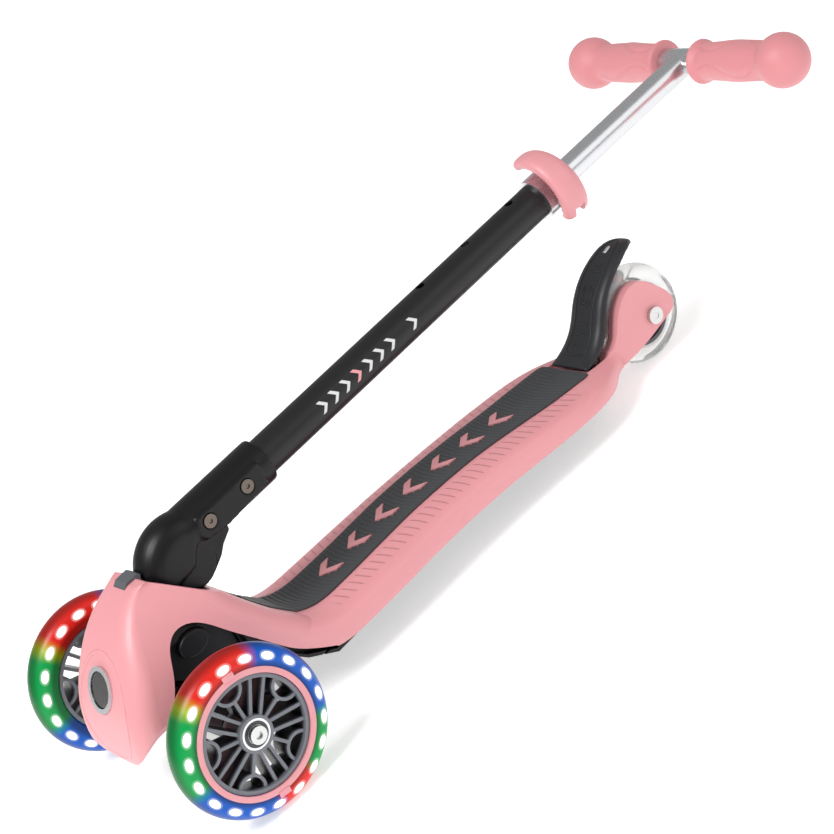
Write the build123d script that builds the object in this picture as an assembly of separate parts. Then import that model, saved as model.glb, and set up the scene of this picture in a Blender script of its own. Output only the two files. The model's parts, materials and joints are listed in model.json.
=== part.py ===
from build123d import *
import os
from math import atan2, cos, degrees, hypot, radians, sin

os.makedirs("parts", exist_ok=True)

# Working frame, mm: origin on the ground under the front axle, +X forward, +Y left, +Z up.
# Everything is moved by SHIFT_X at export, so the row's origin is the box's bottom centre.

# ---- wheels and axles
FRONT_R = 60.5
FRONT_HALF_W = 12.0
TRACK_HALF = 103.0
REAR_R = 40.0
REAR_HALF_W = 11.3
WHEELBASE = 486.8
BEARING_R = 11.0
BEARING_W = 7.0
AXLE_R = 4.0
RING_IN = 42.0
RING_OUT = 46.3
LED_COUNT = 19
LED_R = 53.2
SPOKES = 5
TAB_ANGLES = (-95.0, 83.0)

# ---- steering truck: its pivot crosses the front axle and rises towards the front
PIVOT_RISE = 38.0
KNUCKLE_R = 16.0
KNUCKLE_HALF = 17.0
LUG_T = 9.0
BEAM_END = 86.0

# ---- fold hinge between the neck and the T-bar
HINGE_X = -62.0
HINGE_Z = 135.5
DRUM_R = 38.3
DRUM_HALF = 17.5
HUB_R = 17.8
TONGUE_HALF = 7.0
HINGE_PIN_R = 4.0

# ---- T-bar, folded back over the deck
BAR_SLOPE = 2.39
BAR_FOOT = (-149.0, 157.0)
SLEEVE_R = 17.8
OUTER_R = 14.2
OUTER_BORE = 12.7
INNER_R = 10.3
INNER_BORE = 8.8
CROSS_X = -634.8
CROSS_R = 10.7
BALL_R = 21.3
BALL_Y = 111.7
GRIP_START = 20.5
CLAMP_X = -467.0
SNAP_X = -382.0
SNAP_PITCH = 50.0
SNAP_R = 3.4

# ---- shell
WALL = 3.3
MAT_T = 2.2
GAP = 0.3

SHIFT_X = -(FRONT_R + CROSS_X - BALL_R) / 2.0
SIDES = {"left": 1.0, "right": -1.0}


# ------------------------------------------------------------------ helpers
def save(shape, name):
    """Move a finished piece into the row's frame and write it."""
    export_step(Pos(SHIFT_X, 0, 0) * shape, "parts/" + name + ".step")


def rod(radius, half, x, z, y=0.0):
    """A cylinder along Y, centred at y."""
    return Pos(x, y, z) * Rot(90, 0, 0) * Cylinder(radius, 2 * half)


def closed_face(*curves):
    """A face inside a chain of curves that closes on itself."""
    return Face(Wire([edge for curve in curves for edge in curve.edges()]))


def side_plate(points, y0, y1, smooth=False):
    """A side outline given as (x, z) points, extruded from y0 to y1."""
    pts = [(x, y0, z) for x, z in points]
    curves = [Spline(*pts), Line(pts[-1], pts[0])] if smooth else [Polyline(*pts, close=True)]
    return extrude(closed_face(*curves), amount=y1 - y0, dir=(0, 1, 0))


def turned(profile, x=0.0, z=0.0, y=0.0, sign=1.0):
    """Turn an (axial y, radius) outline round a Y axis; sign -1 mirrors it."""
    pts = [(r, sign * a, 0) for a, r in profile]
    face = Face(Wire(Polyline(*pts, close=True)))
    return Pos(x, y, z) * revolve(face, Axis.Y)


def polar(cx, cz, radius, angle):
    return (cx + radius * cos(radians(angle)), cz + radius * sin(radians(angle)))


def bar_z(x):
    """Height of the T-bar's axis over a given x."""
    return BAR_FOOT[1] + (BAR_FOOT[0] - x) * sin(radians(BAR_SLOPE)) / cos(radians(BAR_SLOPE))


BAR_DIR = Vector(-cos(radians(BAR_SLOPE)), 0, sin(radians(BAR_SLOPE)))


def bar_plane(x):
    """A plane across the T-bar: local Z runs up the bar, local X is the near side (+Y)."""
    return Plane(origin=(x, 0, bar_z(x)), x_dir=(0, 1, 0), z_dir=BAR_DIR)


def bar_tube(x0, x1, outer, inner=0.0):
    """A tube on the T-bar's axis, from x0 back to x1."""
    length = (x0 - x1) / cos(radians(BAR_SLOPE))
    base = bar_plane(x0).location
    tube = base * Cylinder(outer, length, align=(Align.CENTER, Align.CENTER, Align.MIN))
    if inner > 0:
        hole = Cylinder(inner, length + 2, align=(Align.CENTER, Align.CENTER, Align.MIN))
        tube = tube - base * Pos(0, 0, -1) * hole
    return tube


# ------------------------------------------------------------------ shell forms
# Deck sections: x, half width, top height, edge height, bottom height.
DECK = [
    (-62.0, 50.0, 92.0, 74.0, 62.0),
    (-76.0, 52.5, 83.0, 68.0, 50.0),
    (-90.0, 54.5, 70.0, 59.5, 40.0),
    (-105.0, 56.0, 58.5, 51.5, 33.0),
    (-122.0, 56.5, 52.6, 47.5, 30.5),
    (-142.0, 56.3, 51.9, 47.0, 30.5),
    (-165.0, 55.6, 52.6, 47.5, 31.0),
    (-188.0, 54.4, 53.8, 48.2, 31.5),
    (-207.0, 53.2, 54.8, 48.7, 32.0),
    (-225.0, 52.3, 55.4, 49.0, 32.0),
    (-245.0, 51.6, 55.3, 49.1, 32.0),
    (-265.0, 51.3, 54.8, 48.9, 31.5),
    (-285.0, 51.3, 53.8, 48.5, 31.0),
    (-310.0, 52.4, 51.7, 47.2, 30.0),
    (-335.0, 53.8, 48.9, 45.5, 29.0),
    (-355.0, 54.6, 46.8, 43.7, 28.0),
    (-375.0, 54.6, 45.0, 42.0, 27.5),
    (-400.0, 50.0, 43.0, 40.0, 26.0),
    (-420.0, 39.0, 41.0, 38.0, 25.0),
    (-440.0, 26.0, 41.5, 38.0, 24.5),
]
FLAT = 0.58

# Nose sections: height, front x, rear x, half width in front, half width behind, corner.
NOSE = [
    (36.0, 46.0, -112.0, 45.0, 54.0, 17.0),
    (50.0, 52.5, -109.0, 48.5, 54.5, 18.0),
    (62.0, 53.5, -101.0, 49.5, 54.0, 18.0),
    (76.0, 51.0, -88.5, 49.5, 52.5, 18.0),
    (91.0, 45.5, -78.0, 48.5, 50.0, 18.0),
    (106.0, 36.5, -68.5, 46.0, 46.0, 17.0),
    (121.0, 26.5, -62.0, 40.0, 39.0, 15.0),
    (136.0, 14.0, -61.0, 31.5, 30.0, 12.0),
    (147.0, 0.0, -61.0, 24.0, 23.0, 9.0),
    (154.0, -16.0, -61.0, 21.8, 21.6, 8.0),
]
MOUTH_FRONT = (-25.6, 151.6)
MOUTH_REAR = (-60.5, 117.0)

# Lower edge of the side wall round the front wheel, as (x, z).
ARCH = [(-112, 20), (-105, 34), (-90, 44), (-78, 54), (-67, 68), (-56, 83), (-43, 101), (-35, 112),
        (-26, 118.5), (-14, 119.5), (-4, 113), (3, 102), (14, 86), (39, 62), (47, 50), (49, 30)]


def deck_form(inset, drop):
    """The deck's outer form, drawn in by inset at the sides and lowered by drop."""
    faces = []
    for x, half, top, edge, bottom in DECK:
        w = half - inset
        z_top = top - drop
        z_edge = edge - drop * 0.8
        low = bottom - (1.0 if inset else 0.0)
        right = [(x, w * FLAT, z_top), (x, w * 0.86, (z_top * 0.45 + z_edge * 0.55)),
                 (x, w * 0.965, z_edge - 1.5), (x, w, z_edge - 7.0), (x, w * 0.985, low)]
        left = [(px, -py, pz) for px, py, pz in reversed(right)]
        top_edge = Line(left[-1], right[0])
        right_edge = Spline(*right)
        low_edge = Line(right[-1], left[0])
        left_edge = Spline(*left)
        faces.append(closed_face(top_edge, right_edge, low_edge, left_edge))
    return loft(faces, ruled=False)


def nose_form(inset, drop):
    """The shield and neck: horizontal sections with rounded corners."""
    faces = []
    for z, front, rear, w_front, w_rear, corner in NOSE:
        f = front - inset
        b = rear + inset
        wf = w_front - inset
        wb = w_rear - inset
        c = max(corner - inset, 3.0)
        outline = FilletPolyline((f, wf, 0), (f, -wf, 0), (b, -wb, 0), (b, wb, 0), radius=c, close=True)
        faces.append(Pos(0, 0, z - drop) * closed_face(outline))
    return loft(faces, ruled=False)


def mouth_cutter(lift=0.0):
    """Everything above the sloping plane of the neck's mouth."""
    run = (MOUTH_FRONT[0] - MOUTH_REAR[0], MOUTH_FRONT[1] - MOUTH_REAR[1])
    size = hypot(*run)
    ux, uz = run[0] / size, run[1] / size
    fx, fz = MOUTH_FRONT[0] - uz * lift, MOUTH_FRONT[1] + ux * lift
    front_far = (fx + 14 * ux, fz + 14 * uz)
    points = [(fx - 90 * ux, fz - 90 * uz), front_far, (front_far[0] - 80 * uz, front_far[1] + 80 * ux),
              (fx - 90 * ux - 80 * uz, fz - 90 * uz + 80 * ux)]
    return side_plate(points, -60, 60)


def arch_cutter():
    """The wheel arches, cut right across."""
    pts = [(x, -80.0, z) for x, z in ARCH]
    face = closed_face(Spline(*pts[1:-1]), Polyline(pts[-2], pts[-1], pts[0], pts[1]))
    return extrude(face, amount=160, dir=(0, 1, 0))


def shield_foot_cutter():
    """Rounds the shield's lower edge, seen from the front."""
    half = [(62.0, 92.0), (52.0, 79.0), (46.0, 70.0), (38.0, 62.0), (28.0, 55.0), (15.0, 49.0)]
    near = [(20.0, y, z) for y, z in half]
    far = [(20.0, -y, z) for y, z in reversed(half)]
    pts = near + [(20.0, 0.0, 47.0)] + far
    face = closed_face(Spline(*pts), Polyline(pts[-1], (20.0, -62.0, 0.0), (20.0, 62.0, 0.0), pts[0]))
    return extrude(face, amount=50, dir=(1, 0, 0))


def sector(radius, low, high, half):
    """A wedge of a disc about the fold hinge, between two angles from +X towards +Z."""
    reach = 3.0 * radius
    steps = 5
    span = (high - low) / steps
    fan = [polar(HINGE_X, HINGE_Z, reach, low + i * span) for i in range(steps + 1)]
    wedge = side_plate([(HINGE_X, HINGE_Z)] + fan, -half, half)
    return wedge & rod(radius, half, HINGE_X, HINGE_Z)


def drum_room(room=0.6):
    """The space that the elbow's drum passes through as the T-bar folds."""
    half = DRUM_HALF + 0.8
    return sector(DRUM_R + room, -86.0, 150.0, half) + rod(HUB_R + room, half, HINGE_X, HINGE_Z)


# ------------------------------------------------------------------ lock button place on the shield
LOCK_AT = (38.2, 103.0)
LOCK_RISE = 31.0
LOCK_R = 13.2
LOCK_BEZEL_R = 16.8


def lock_place():
    """Plane on the shield's face: local Z is the way the button comes out."""
    out = Vector(cos(radians(LOCK_RISE)), 0, sin(radians(LOCK_RISE)))
    return Plane(origin=(LOCK_AT[0], 0, LOCK_AT[1]), x_dir=(0, 1, 0), z_dir=out).location


# ------------------------------------------------------------------ rear fork
AXLE_X = -WHEELBASE
ARM_IN = 13.2
ARM_OUT = 23.6
PADDLE = [(-400, 40), (-420, 40.5), (-436, 41), (-446, 46), (-454, 56), (-465, 67), (-477, 72.5),
          (-492, 69), (-502, 57), (-509.5, 43), (-508, 35), (-498, 31), (-485, 28.5), (-463, 25),
          (-440, 24.2), (-415, 25)]


def fork_arm(side):
    """One arm of the rear fork, with the axle's hole."""
    arm = side_plate(PADDLE, ARM_IN, ARM_OUT, smooth=True)
    if side < 0:
        arm = mirror(arm, Plane.XZ)
    return arm - rod(AXLE_R + 0.05, 30, AXLE_X, REAR_R)


def deck_shell():
    """The pink moulding: deck, saddle, neck, shield and rear fork in one thin-walled piece."""
    arch = arch_cutter()
    nose_room = nose_form(WALL, 2.6)
    nose_room = nose_room + side_plate([(-104, 20), (40, 20), (40, 45), (-104, 45)], -46, 46)
    deck_room = deck_form(WALL, WALL)
    shield = nose_form(0, 0) - mouth_cutter() - arch - shield_foot_cutter() - nose_room - deck_room
    shell = shield + (deck_form(0, 0) - deck_room - nose_room - arch)
    for side in SIDES.values():
        shell = shell + fork_arm(side)
    # room for the rear wheel and the turning drum
    shell = shell - rod(REAR_R + 3.4, ARM_IN, AXLE_X, REAR_R)
    shell = shell - drum_room()
    # seats of the lock button and of the front bumper
    shell = shell - lock_place() * (Cylinder(LOCK_BEZEL_R - 1.6, 24) + Pos(0, 0, 5) * Cylinder(LOCK_BEZEL_R + 0.05, 10))
    shell = shell - bumper_form(0.0)
    return shell - brake_room()


def inner_room(play):
    """The room inside the shell, a little smaller than the shell's own inner walls."""
    inset = WALL + play
    room = nose_form(inset, 2.6 + play) + deck_form(inset, inset)
    return room - mouth_cutter(-1.0) - drum_room(1.0)


# ------------------------------------------------------------------ small pieces of the neck
BUMPER = [(-28.5, 149.0), (-13.0, 149.0), (-12.0, 153.0), (-16.0, 156.0), (-26.0, 156.5), (-28.5, 154.0)]


def bumper_form(play):
    """Rubber stop in the neck's front lip, where the T-bar lands when it stands up."""
    block = side_plate(BUMPER, -8.0 + play, 8.0 - play)
    return block - sector(DRUM_R + 0.7, 0.0, 90.0, 20)


# ------------------------------------------------------------------ brake
BRAKE_PIN = (-424.0, 41.5)
BRAKE_PIN_R = 2.5
BRAKE_BOSS_R = 5.2
# Stations along the pedal's crown: x, z, half width, depth.
BRAKE = [
    (-409.5, 45.0, 22.6, 3.4),
    (-417.0, 47.4, 22.8, 5.4),
    (-427.0, 52.4, 22.0, 7.6),
    (-437.7, 61.0, 20.8, 8.0),
    (-449.8, 75.4, 19.8, 7.2),
    (-466.3, 88.6, 19.2, 6.6),
    (-485.7, 96.9, 17.8, 6.4),
    (-498.5, 99.2, 14.8, 5.8),
    (-507.5, 97.2, 10.6, 4.8),
    (-512.0, 93.2, 6.0, 3.4),
]
LUG_HALF = 7.5


def mirrored_outline(half):
    """A closed plan outline from its left half, given front to back."""
    return half + [(x, -y) for x, y in reversed(half)]


def plan_prism(outline, low, high):
    """A plan outline extruded between two heights."""
    pts = [(x, y, low) for x, y in outline]
    return extrude(closed_face(Polyline(*pts, close=True)), amount=high - low, dir=(0, 0, 1))


def brake_form():
    """The curved foot brake: domed sections set square to its crown line."""
    faces = []
    for i, (x, z, half, depth) in enumerate(BRAKE):
        before = BRAKE[max(i - 1, 0)]
        after = BRAKE[min(i + 1, len(BRAKE) - 1)]
        run = (after[0] - before[0], after[1] - before[1])
        size = hypot(*run)
        down = (run[1] / size, -run[0] / size)
        if down[1] > 0:
            down = (-down[0], -down[1])
        dome = [(-1.0, 1.0), (-0.97, 0.62), (-0.84, 0.26), (-0.5, 0.05), (0.0, 0.0),
                (0.5, 0.05), (0.84, 0.26), (0.97, 0.62), (1.0, 1.0)]
        pts = [(x + down[0] * d * depth, half * y, z + down[1] * d * depth) for y, d in dome]
        faces.append(closed_face(Spline(*pts), Line(pts[-1], pts[0])))
    return loft(faces, ruled=False)


def brake_pedal():
    """The foot brake with the boss of its pin, slotted for the pivot lug."""
    pedal = brake_form() + rod(BRAKE_BOSS_R, 19.0, *BRAKE_PIN)
    slot = [(-436, 30), (-436, 46), (-430.5, 49), (-418, 46.5), (-415.5, 30)]
    pedal = pedal - side_plate(slot, -LUG_HALF - 0.6, LUG_HALF + 0.6)
    return pedal - rod(BRAKE_PIN_R + 0.05, 60, *BRAKE_PIN)


def brake_room():
    """What the shell leaves free for the brake's base as it tips."""
    base = plan_prism(mirrored_outline([(-408.0, 24.0), (-418, 24.2), (-427, 23.4), (-446.0, 22.0)]), 30.0, 90)
    side = [(-408.0, 40.8), (-416, 37.5), (-420, 35.5), (-428, 35.5), (-436, 41.0), (-446, 50), (-452, 70), (-408, 80)]
    return base & side_plate(side, -40, 40)


def brake_lug():
    """Ear on the underframe that holds the brake's pin."""
    outline = [polar(*BRAKE_PIN, 5.6, angle) for angle in range(-20, 201, 20)]
    outline = outline + [(-430, 28.5), (-417, 28.5)]
    return side_plate(outline, -LUG_HALF, LUG_HALF) - rod(BRAKE_PIN_R + 0.02, 20, *BRAKE_PIN)


def coil(radius, wire, turns, height, place):
    """A compression spring, drawn at its working length along local Z."""
    path = Helix(pitch=height / turns, height=height, radius=radius)
    start = path @ 0
    section = Plane(origin=start, z_dir=path % 0) * Circle(wire)
    return place * sweep(section, path=path)


# ------------------------------------------------------------------ mat on the deck
MAT_HALF = [(-78, 22.0), (-88, 24.5), (-104, 26.0), (-130, 26.0), (-180, 25.0), (-290, 25.0), (-330, 26.5),
            (-370, 29.5), (-402.0, 30.0), (-407.5, 27.0)]
INLAY_X = [-152.0 - 30.3 * i for i in range(7)]


def deck_mat():
    outline = plan_prism(mirrored_outline(MAT_HALF), 30, 130)
    low_form = deck_form(0, 0) + nose_form(0, 0)
    high_form = Pos(0, 0, MAT_T) * deck_form(0, 0)
    mat = (high_form & outline) - low_form
    mat = sorted(mat.solids(), key=lambda solid: solid.volume)[-1]
    return mat - brake_room() - inlay_forms()


def chevron(x):
    """A plain raised chevron, pointing forward."""
    half = [(x + 9.0, 0.0), (x - 1.0, 10.5), (x - 8.5, 10.5), (x + 1.5, 0.0)]
    other = [(px, -py) for px, py in half[1:3]]
    outline = [half[0], half[1], half[2], half[3], other[1], other[0]]
    return plan_prism(outline, 44, 66)


def inlay_forms():
    forms = [chevron(x) for x in INLAY_X]
    return Compound(forms)


def deck_inlays():
    top = Pos(0, 0, MAT_T + 0.9) * deck_form(0, 0)
    low = deck_form(0, 0)
    return Compound([(chevron(x) & top) - low for x in INLAY_X])


# ------------------------------------------------------------------ underframe, hinge block, kingpin
BELLY = [(-436, 25.5), (-400, 27.0), (-330, 29.5), (-250, 31.0), (-200, 30.5), (-150, 28.5), (-106, 26.0),
         (-84, 39.0), (-62, 62.0), (-51, 72.0)]
FRAME_FRONT = -51.0
BELLY_T = 3.0


def underframe():
    """Ribbed black frame under the deck, from the hinge block back to the fork."""
    top = 120.0
    skin = BELLY + [(x, z + BELLY_T) for x, z in reversed(BELLY)]
    frame = side_plate(skin, -50, 50)
    web = BELLY + [(FRAME_FRONT, top), (-436, top)]
    for y in (-40.0, -18.0, 18.0, 40.0):
        frame = frame + side_plate(web, y - 1.5, y + 1.5)
    full = side_plate(web, -50, 50)
    for x in (-55.0, -120.0, -170.0, -220.0, -270.0, -320.0, -370.0):
        frame = frame + (full & Pos(x, 0, 60) * Box(3.0, 100, 140))
    half = [(x, w - WALL - 2.0) for x, w, *heights in DECK]
    return frame & (inner_room(0.35) + plan_prism(mirrored_outline(half), 20, 32))


AXIS_A = (cos(radians(PIVOT_RISE)), sin(radians(PIVOT_RISE)))


def pivot_point(u, v):
    """A point in the side plane, u along the kingpin and v across it, up and back."""
    return (AXIS_A[0] * u - AXIS_A[1] * v, FRONT_R + AXIS_A[1] * u + AXIS_A[0] * v)


def pivot_place(u=0.0):
    x, z = pivot_point(u, 0)
    return Plane(origin=(x, 0, z), x_dir=(0, 1, 0), z_dir=(AXIS_A[0], 0, AXIS_A[1])).location


def pivot_rod(radius, u0, u1):
    base = pivot_place(u0)
    return base * Cylinder(radius, u1 - u0, align=(Align.CENTER, Align.CENTER, Align.MIN))


def pivot_plate(u0, u1, v0, v1, half):
    corners = [pivot_point(u, v) for u, v in ((u0, v0), (u1, v0), (u1, v1), (u0, v1))]
    return side_plate(corners, -half, half)


LEG = [(14, -78), (38, -75), (62, -72), (75, -55), (60, -50), (38, -57), (16, -42)]
BLOCK = [(-50.4, 64), (-50.4, 118), (-40, 123), (-4, 123), (10, 110), (20, 93), (10, 84), (-18, 84)]
BLOCK_HALF = 38.0
BUTTON_AT = (-22.0, 104.5)
BUTTON_LONG = 12.5
BUTTON_TALL = 8.8
BUTTON_FACE = 43.0
LUG_OUT = KNUCKLE_HALF + 0.3 + LUG_T


def button_oval(grow, y0, y1):
    """The fold button's oval, grown all round, between two places across the neck."""
    oval = Ellipse(BUTTON_LONG + grow, BUTTON_TALL + grow)
    plane = Plane(origin=(BUTTON_AT[0], y0, BUTTON_AT[1]), x_dir=(1, 0, 0), z_dir=(0, 1, 0))
    return extrude(plane * oval, amount=y1 - y0, dir=(0, 1, 0))


def hinge_block():
    """Cast block in the neck: tongue of the fold hinge above, kingpin clevis below."""
    block = side_plate(BLOCK, -BLOCK_HALF, BLOCK_HALF)
    clevis = pivot_plate(-LUG_OUT, LUG_OUT, 15.0, 40.0, 24.0)
    for u0 in (-LUG_OUT, KNUCKLE_HALF + 0.3):
        clevis = clevis + pivot_plate(u0, u0 + LUG_T, -2.0, 30.0, 13.0) + pivot_rod(13.0, u0, u0 + LUG_T)
    block = block + clevis
    block = block - side_plate([(FRAME_FRONT + 0.6, 0), (FRAME_FRONT + 0.6, 160), (-90, 160), (-90, 0)], -60, 60)
    block = block & inner_room(0.9)
    # gap for the knuckle and the swinging beam
    block = block - pivot_plate(-KNUCKLE_HALF - 0.3, KNUCKLE_HALF + 0.3, -40, 19.0, 60)
    for side in SIDES.values():
        tilt = Plane(origin=(*pivot_point(0, 17.0)[:1], 0, pivot_point(0, 17.0)[1]),
                     x_dir=(AXIS_A[0], 0, AXIS_A[1]), z_dir=(-AXIS_A[1], 0, AXIS_A[0]))
        wedge = extrude(closed_face(Polyline((-60, side * 14, 0), (-60, side * 60, 0), (-60, side * 60, 9),
                                             (-60, side * 14, 0), close=False)), amount=120, dir=(1, 0, 0))
        block = block - tilt.location * wedge
    # drum slot, then the tongue inside it
    block = block - sector(DRUM_R + 1.0, -89.0, 180.0, DRUM_HALF + 0.8)
    tongue = rod(14.5, TONGUE_HALF, HINGE_X, HINGE_Z)
    tongue = tongue + side_plate([polar(HINGE_X, HINGE_Z, r, angle) for r, angle in LEG], -TONGUE_HALF, TONGUE_HALF)
    block = block + tongue
    block = block - rod(HINGE_PIN_R + 0.05, 20, HINGE_X, HINGE_Z)
    block = block - pivot_rod(AXLE_R + 0.02, -60, 60)
    # well of the fold button and bore of its stem
    block = block - button_oval(0.5, 33.0, 60.0) - rod(5.4, 15.0, *BUTTON_AT, y=30.0)
    block = block - rod(8.2, 6.0, *BUTTON_AT, y=31.0)
    return block - lock_place() * Pos(0, 0, -13) * Cylinder(LOCK_R + 1.5, 26)


def fold_button():
    """Oval push button that frees the fold, with its stem."""
    head = button_oval(0.0, 37.5, BUTTON_FACE)
    head = fillet(head.faces().sort_by(Axis.Y)[-1].edges(), 1.6)
    return head + rod(5.0, 7.0, *BUTTON_AT, y=31.0)


def lock_button():
    """Round steering lock button, domed."""
    cap = Pos(0, 0, -4.5) * Cylinder(LOCK_R - 0.25, 11.0)
    cap = fillet(cap.edges().group_by(Axis.Z)[-1], 1.2)
    return lock_place() * cap


def lock_bezel():
    ring = Pos(0, 0, -4.0) * Cylinder(LOCK_BEZEL_R - 1.65, 11.0) + Pos(0, 0, 0.9) * Cylinder(LOCK_BEZEL_R, 1.8)
    ring = ring - Cylinder(LOCK_R, 40)
    return lock_place() * ring


# ------------------------------------------------------------------ steering truck
def axle_carrier():
    """Beam that carries both front wheels and swings on the kingpin."""
    beam = turned([(-BEAM_END, 0), (-BEAM_END, 10.5), (-50, 11.5), (-20, 13.0), (20, 13.0), (50, 11.5),
                   (BEAM_END, 10.5), (BEAM_END, 0)], 0, FRONT_R)
    beam = beam + pivot_rod(KNUCKLE_R, -KNUCKLE_HALF + 3.0, KNUCKLE_HALF - 3.0)
    beam = beam - pivot_rod(AXLE_R + 0.05, -60, 60)
    for sign in SIDES.values():
        beam = beam - rod(AXLE_R + 0.02, 22.0, 0, FRONT_R, y=sign * (BEAM_END - 20.0))
    for u in (-KNUCKLE_HALF + 3.0, KNUCKLE_HALF - 5.0):
        beam = beam - pivot_rod(9.5, u - 3.0 if u < 0 else u, u + 2.0 if u < 0 else u + 5.0)
    return beam


def kingpin_bushings():
    """Rubber rings that centre the beam on the kingpin."""
    parts = []
    for u0 in (-KNUCKLE_HALF, KNUCKLE_HALF - 5.0):
        parts.append(pivot_rod(9.45, u0 + 0.05, u0 + 4.95) - pivot_rod(AXLE_R + 0.1, -60, 60))
    return Compound(parts)


def kingpin():
    return pivot_rod(AXLE_R, -LUG_OUT - 7.0, LUG_OUT) + pivot_rod(7.0, LUG_OUT, LUG_OUT + 4.5)


def hex_nut(radius, height, bore):
    nut = extrude(RegularPolygon(radius, 6), amount=height)
    return nut - Cylinder(bore, 4 * height)


def kingpin_nut():
    return pivot_place(-LUG_OUT) * Rot(180, 0, 0) * hex_nut(7.4, 6.0, AXLE_R + 0.02)


# ------------------------------------------------------------------ wheels
def tyre_profile(radius, half, inner, shoulder):
    """Half of a tyre's outline, from the bore's edge round to the crown, as (y, radius)."""
    points = [(half * 0.86, inner), (half, inner + 1.6), (half, shoulder)]
    steps = 8
    for i in range(1, steps + 1):
        a = radians(90.0 * i / steps)
        points.append((half * cos(a) * 0.98, shoulder + (radius - shoulder) * sin(a)))
    return points


def tyre(radius, half, inner, shoulder):
    right = tyre_profile(radius, half, inner, shoulder)
    left = [(-y, r) for y, r in reversed(right[:-1])]
    return turned(right + left)


def led_pocket(index, side, grow=0.0):
    """One lamp's capsule, laid along the tyre's shoulder."""
    capsule = SlotOverall(8.6 + 2 * grow, 4.6 + 2 * grow)
    turn = 360.0 / LED_COUNT * index
    body = extrude(capsule, amount=20)
    place = Rot(-90 * side, 0, 0)
    along = Rot(0, turn, 0) * Pos(0, 0, LED_R) * place
    return along * Pos(0, 0, FRONT_HALF_W - 4.0) * body


def front_tyre(side):
    body = tyre(FRONT_R, FRONT_HALF_W, RING_IN - 0.5, 50.5)
    ring = turned([(side * 9.0, 20), (side * 9.0, RING_OUT), (side * 20, RING_OUT), (side * 20, 20)])
    return body - ring


def front_hub(side):
    """Five pairs of spokes between a bearing boss and the rim, with an arch between pairs."""
    w = FRONT_HALF_W - 1.0
    rim = turned([(-w, 38.6), (-w, RING_IN - 0.55), (w, RING_IN - 0.55), (w, 38.6)])
    boss = turned([(-11.2, 0), (-11.2, 13.2), (11.2, 13.2), (11.2, 0)])
    hub = rim + boss
    spoke_half = w - 2.0
    for i in range(SPOKES):
        turn = Rot(0, 90 + 360.0 / SPOKES * i, 0)
        for offset in (-1.0, 1.0):
            bar = Pos(26.0, 0, offset * 4.6) * Rot(0, offset * -3.5, 0) * Box(28.0, 2 * spoke_half, 2.4)
            hub = hub + turn * bar
        middle = Rot(0, 90 + 360.0 / SPOKES * (i + 0.5), 0)
        arch = rod(11.2, spoke_half, 38.5, 0) - rod(8.9, 30, 38.5, 0)
        arch = arch & rod(40.0, 30, 0, 0)
        hub = hub + middle * arch
        hub = hub + middle * Pos(20.5, 0, 0) * Box(16.0, 2 * spoke_half, 2.4)
    hub = hub - rod(BEARING_R + 0.01, 30, 0, 0)
    stop = turned([(-3.9, 9.0), (-3.9, BEARING_R + 0.5), (3.9, BEARING_R + 0.5), (3.9, 9.0)])
    return hub + stop


def wheel_ring(side):
    """Coloured trim ring with two tabs, pressed into the wheel's outer face."""
    a, b = sorted((side * 9.05, side * (FRONT_HALF_W + 0.4)))
    ring = turned([(a, RING_IN), (a, RING_OUT - 0.05), (b, RING_OUT - 0.05), (b, RING_IN)])
    tabs = []
    for angle in TAB_ANGLES:
        tab = Rot(0, angle, 0) * Pos(RING_OUT + 1.2, side * (FRONT_HALF_W + 0.45), 0) * Box(4.2, 0.8, 9.0)
        tabs.append(tab)
    for tab in tabs:
        ring = ring + tab
    return ring


def bearings(half_gap):
    """Two sealed ball bearings, as plain rings."""
    parts = []
    for sign in (-1.0, 1.0):
        a, b = sorted((sign * half_gap, sign * (half_gap + BEARING_W)))
        parts.append(turned([(a, AXLE_R + 0.05), (a, BEARING_R), (b, BEARING_R), (b, AXLE_R + 0.05)]))
    return Compound(parts)


def bearing_spacer():
    return turned([(-3.95, AXLE_R + 0.1), (-3.95, 6.0), (3.95, 6.0), (3.95, AXLE_R + 0.1)])


def axle_bolt(side):
    """Socket bolt that holds a front wheel on the beam."""
    at = TRACK_HALF * side
    head_y = at + side * (3.95 + BEARING_W + 0.1)
    shank_end = side * (BEAM_END - 40.0)
    low, high = sorted((shank_end, head_y))
    bolt = rod(AXLE_R, (high - low) / 2, 0, FRONT_R, y=(low + high) / 2)
    head = rod(6.4, 1.6, 0, FRONT_R, y=head_y + side * 1.6)
    head = head - rod(2.9, 1.2, 0, FRONT_R, y=head_y + side * 2.4)
    collar_half = (TRACK_HALF - 3.95 - BEARING_W - 0.1 - BEAM_END) / 2
    return bolt + head, rod(6.0, collar_half, 0, FRONT_R, y=side * (BEAM_END + collar_half)) - rod(
        AXLE_R + 0.02, 200, 0, FRONT_R)


def rear_hub():
    hub = turned([(-REAR_HALF_W + 1, 22.5), (-REAR_HALF_W + 1, 25.4), (REAR_HALF_W - 1, 25.4), (REAR_HALF_W - 1, 22.5)])
    hub = hub + turned([(-10.9, 0), (-10.9, 13.0), (10.9, 13.0), (10.9, 0)])
    for i in range(5):
        hub = hub + Rot(0, 72.0 * i + 20.0, 0) * Pos(18.0, 0, 0) * Box(11.0, 15.0, 5.0)
    hub = hub - rod(BEARING_R + 0.01, 30, 0, 0)
    return hub + turned([(-3.9, 9.0), (-3.9, BEARING_R + 0.5), (3.9, BEARING_R + 0.5), (3.9, 9.0)])


def rear_axle():
    head = rod(6.8, 1.8, AXLE_X, REAR_R, y=ARM_OUT + 1.8) - rod(2.5, 1.5, AXLE_X, REAR_R, y=ARM_OUT + 3.0)
    return rod(AXLE_R, ARM_OUT + 3.2, AXLE_X, REAR_R) + head


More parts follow.
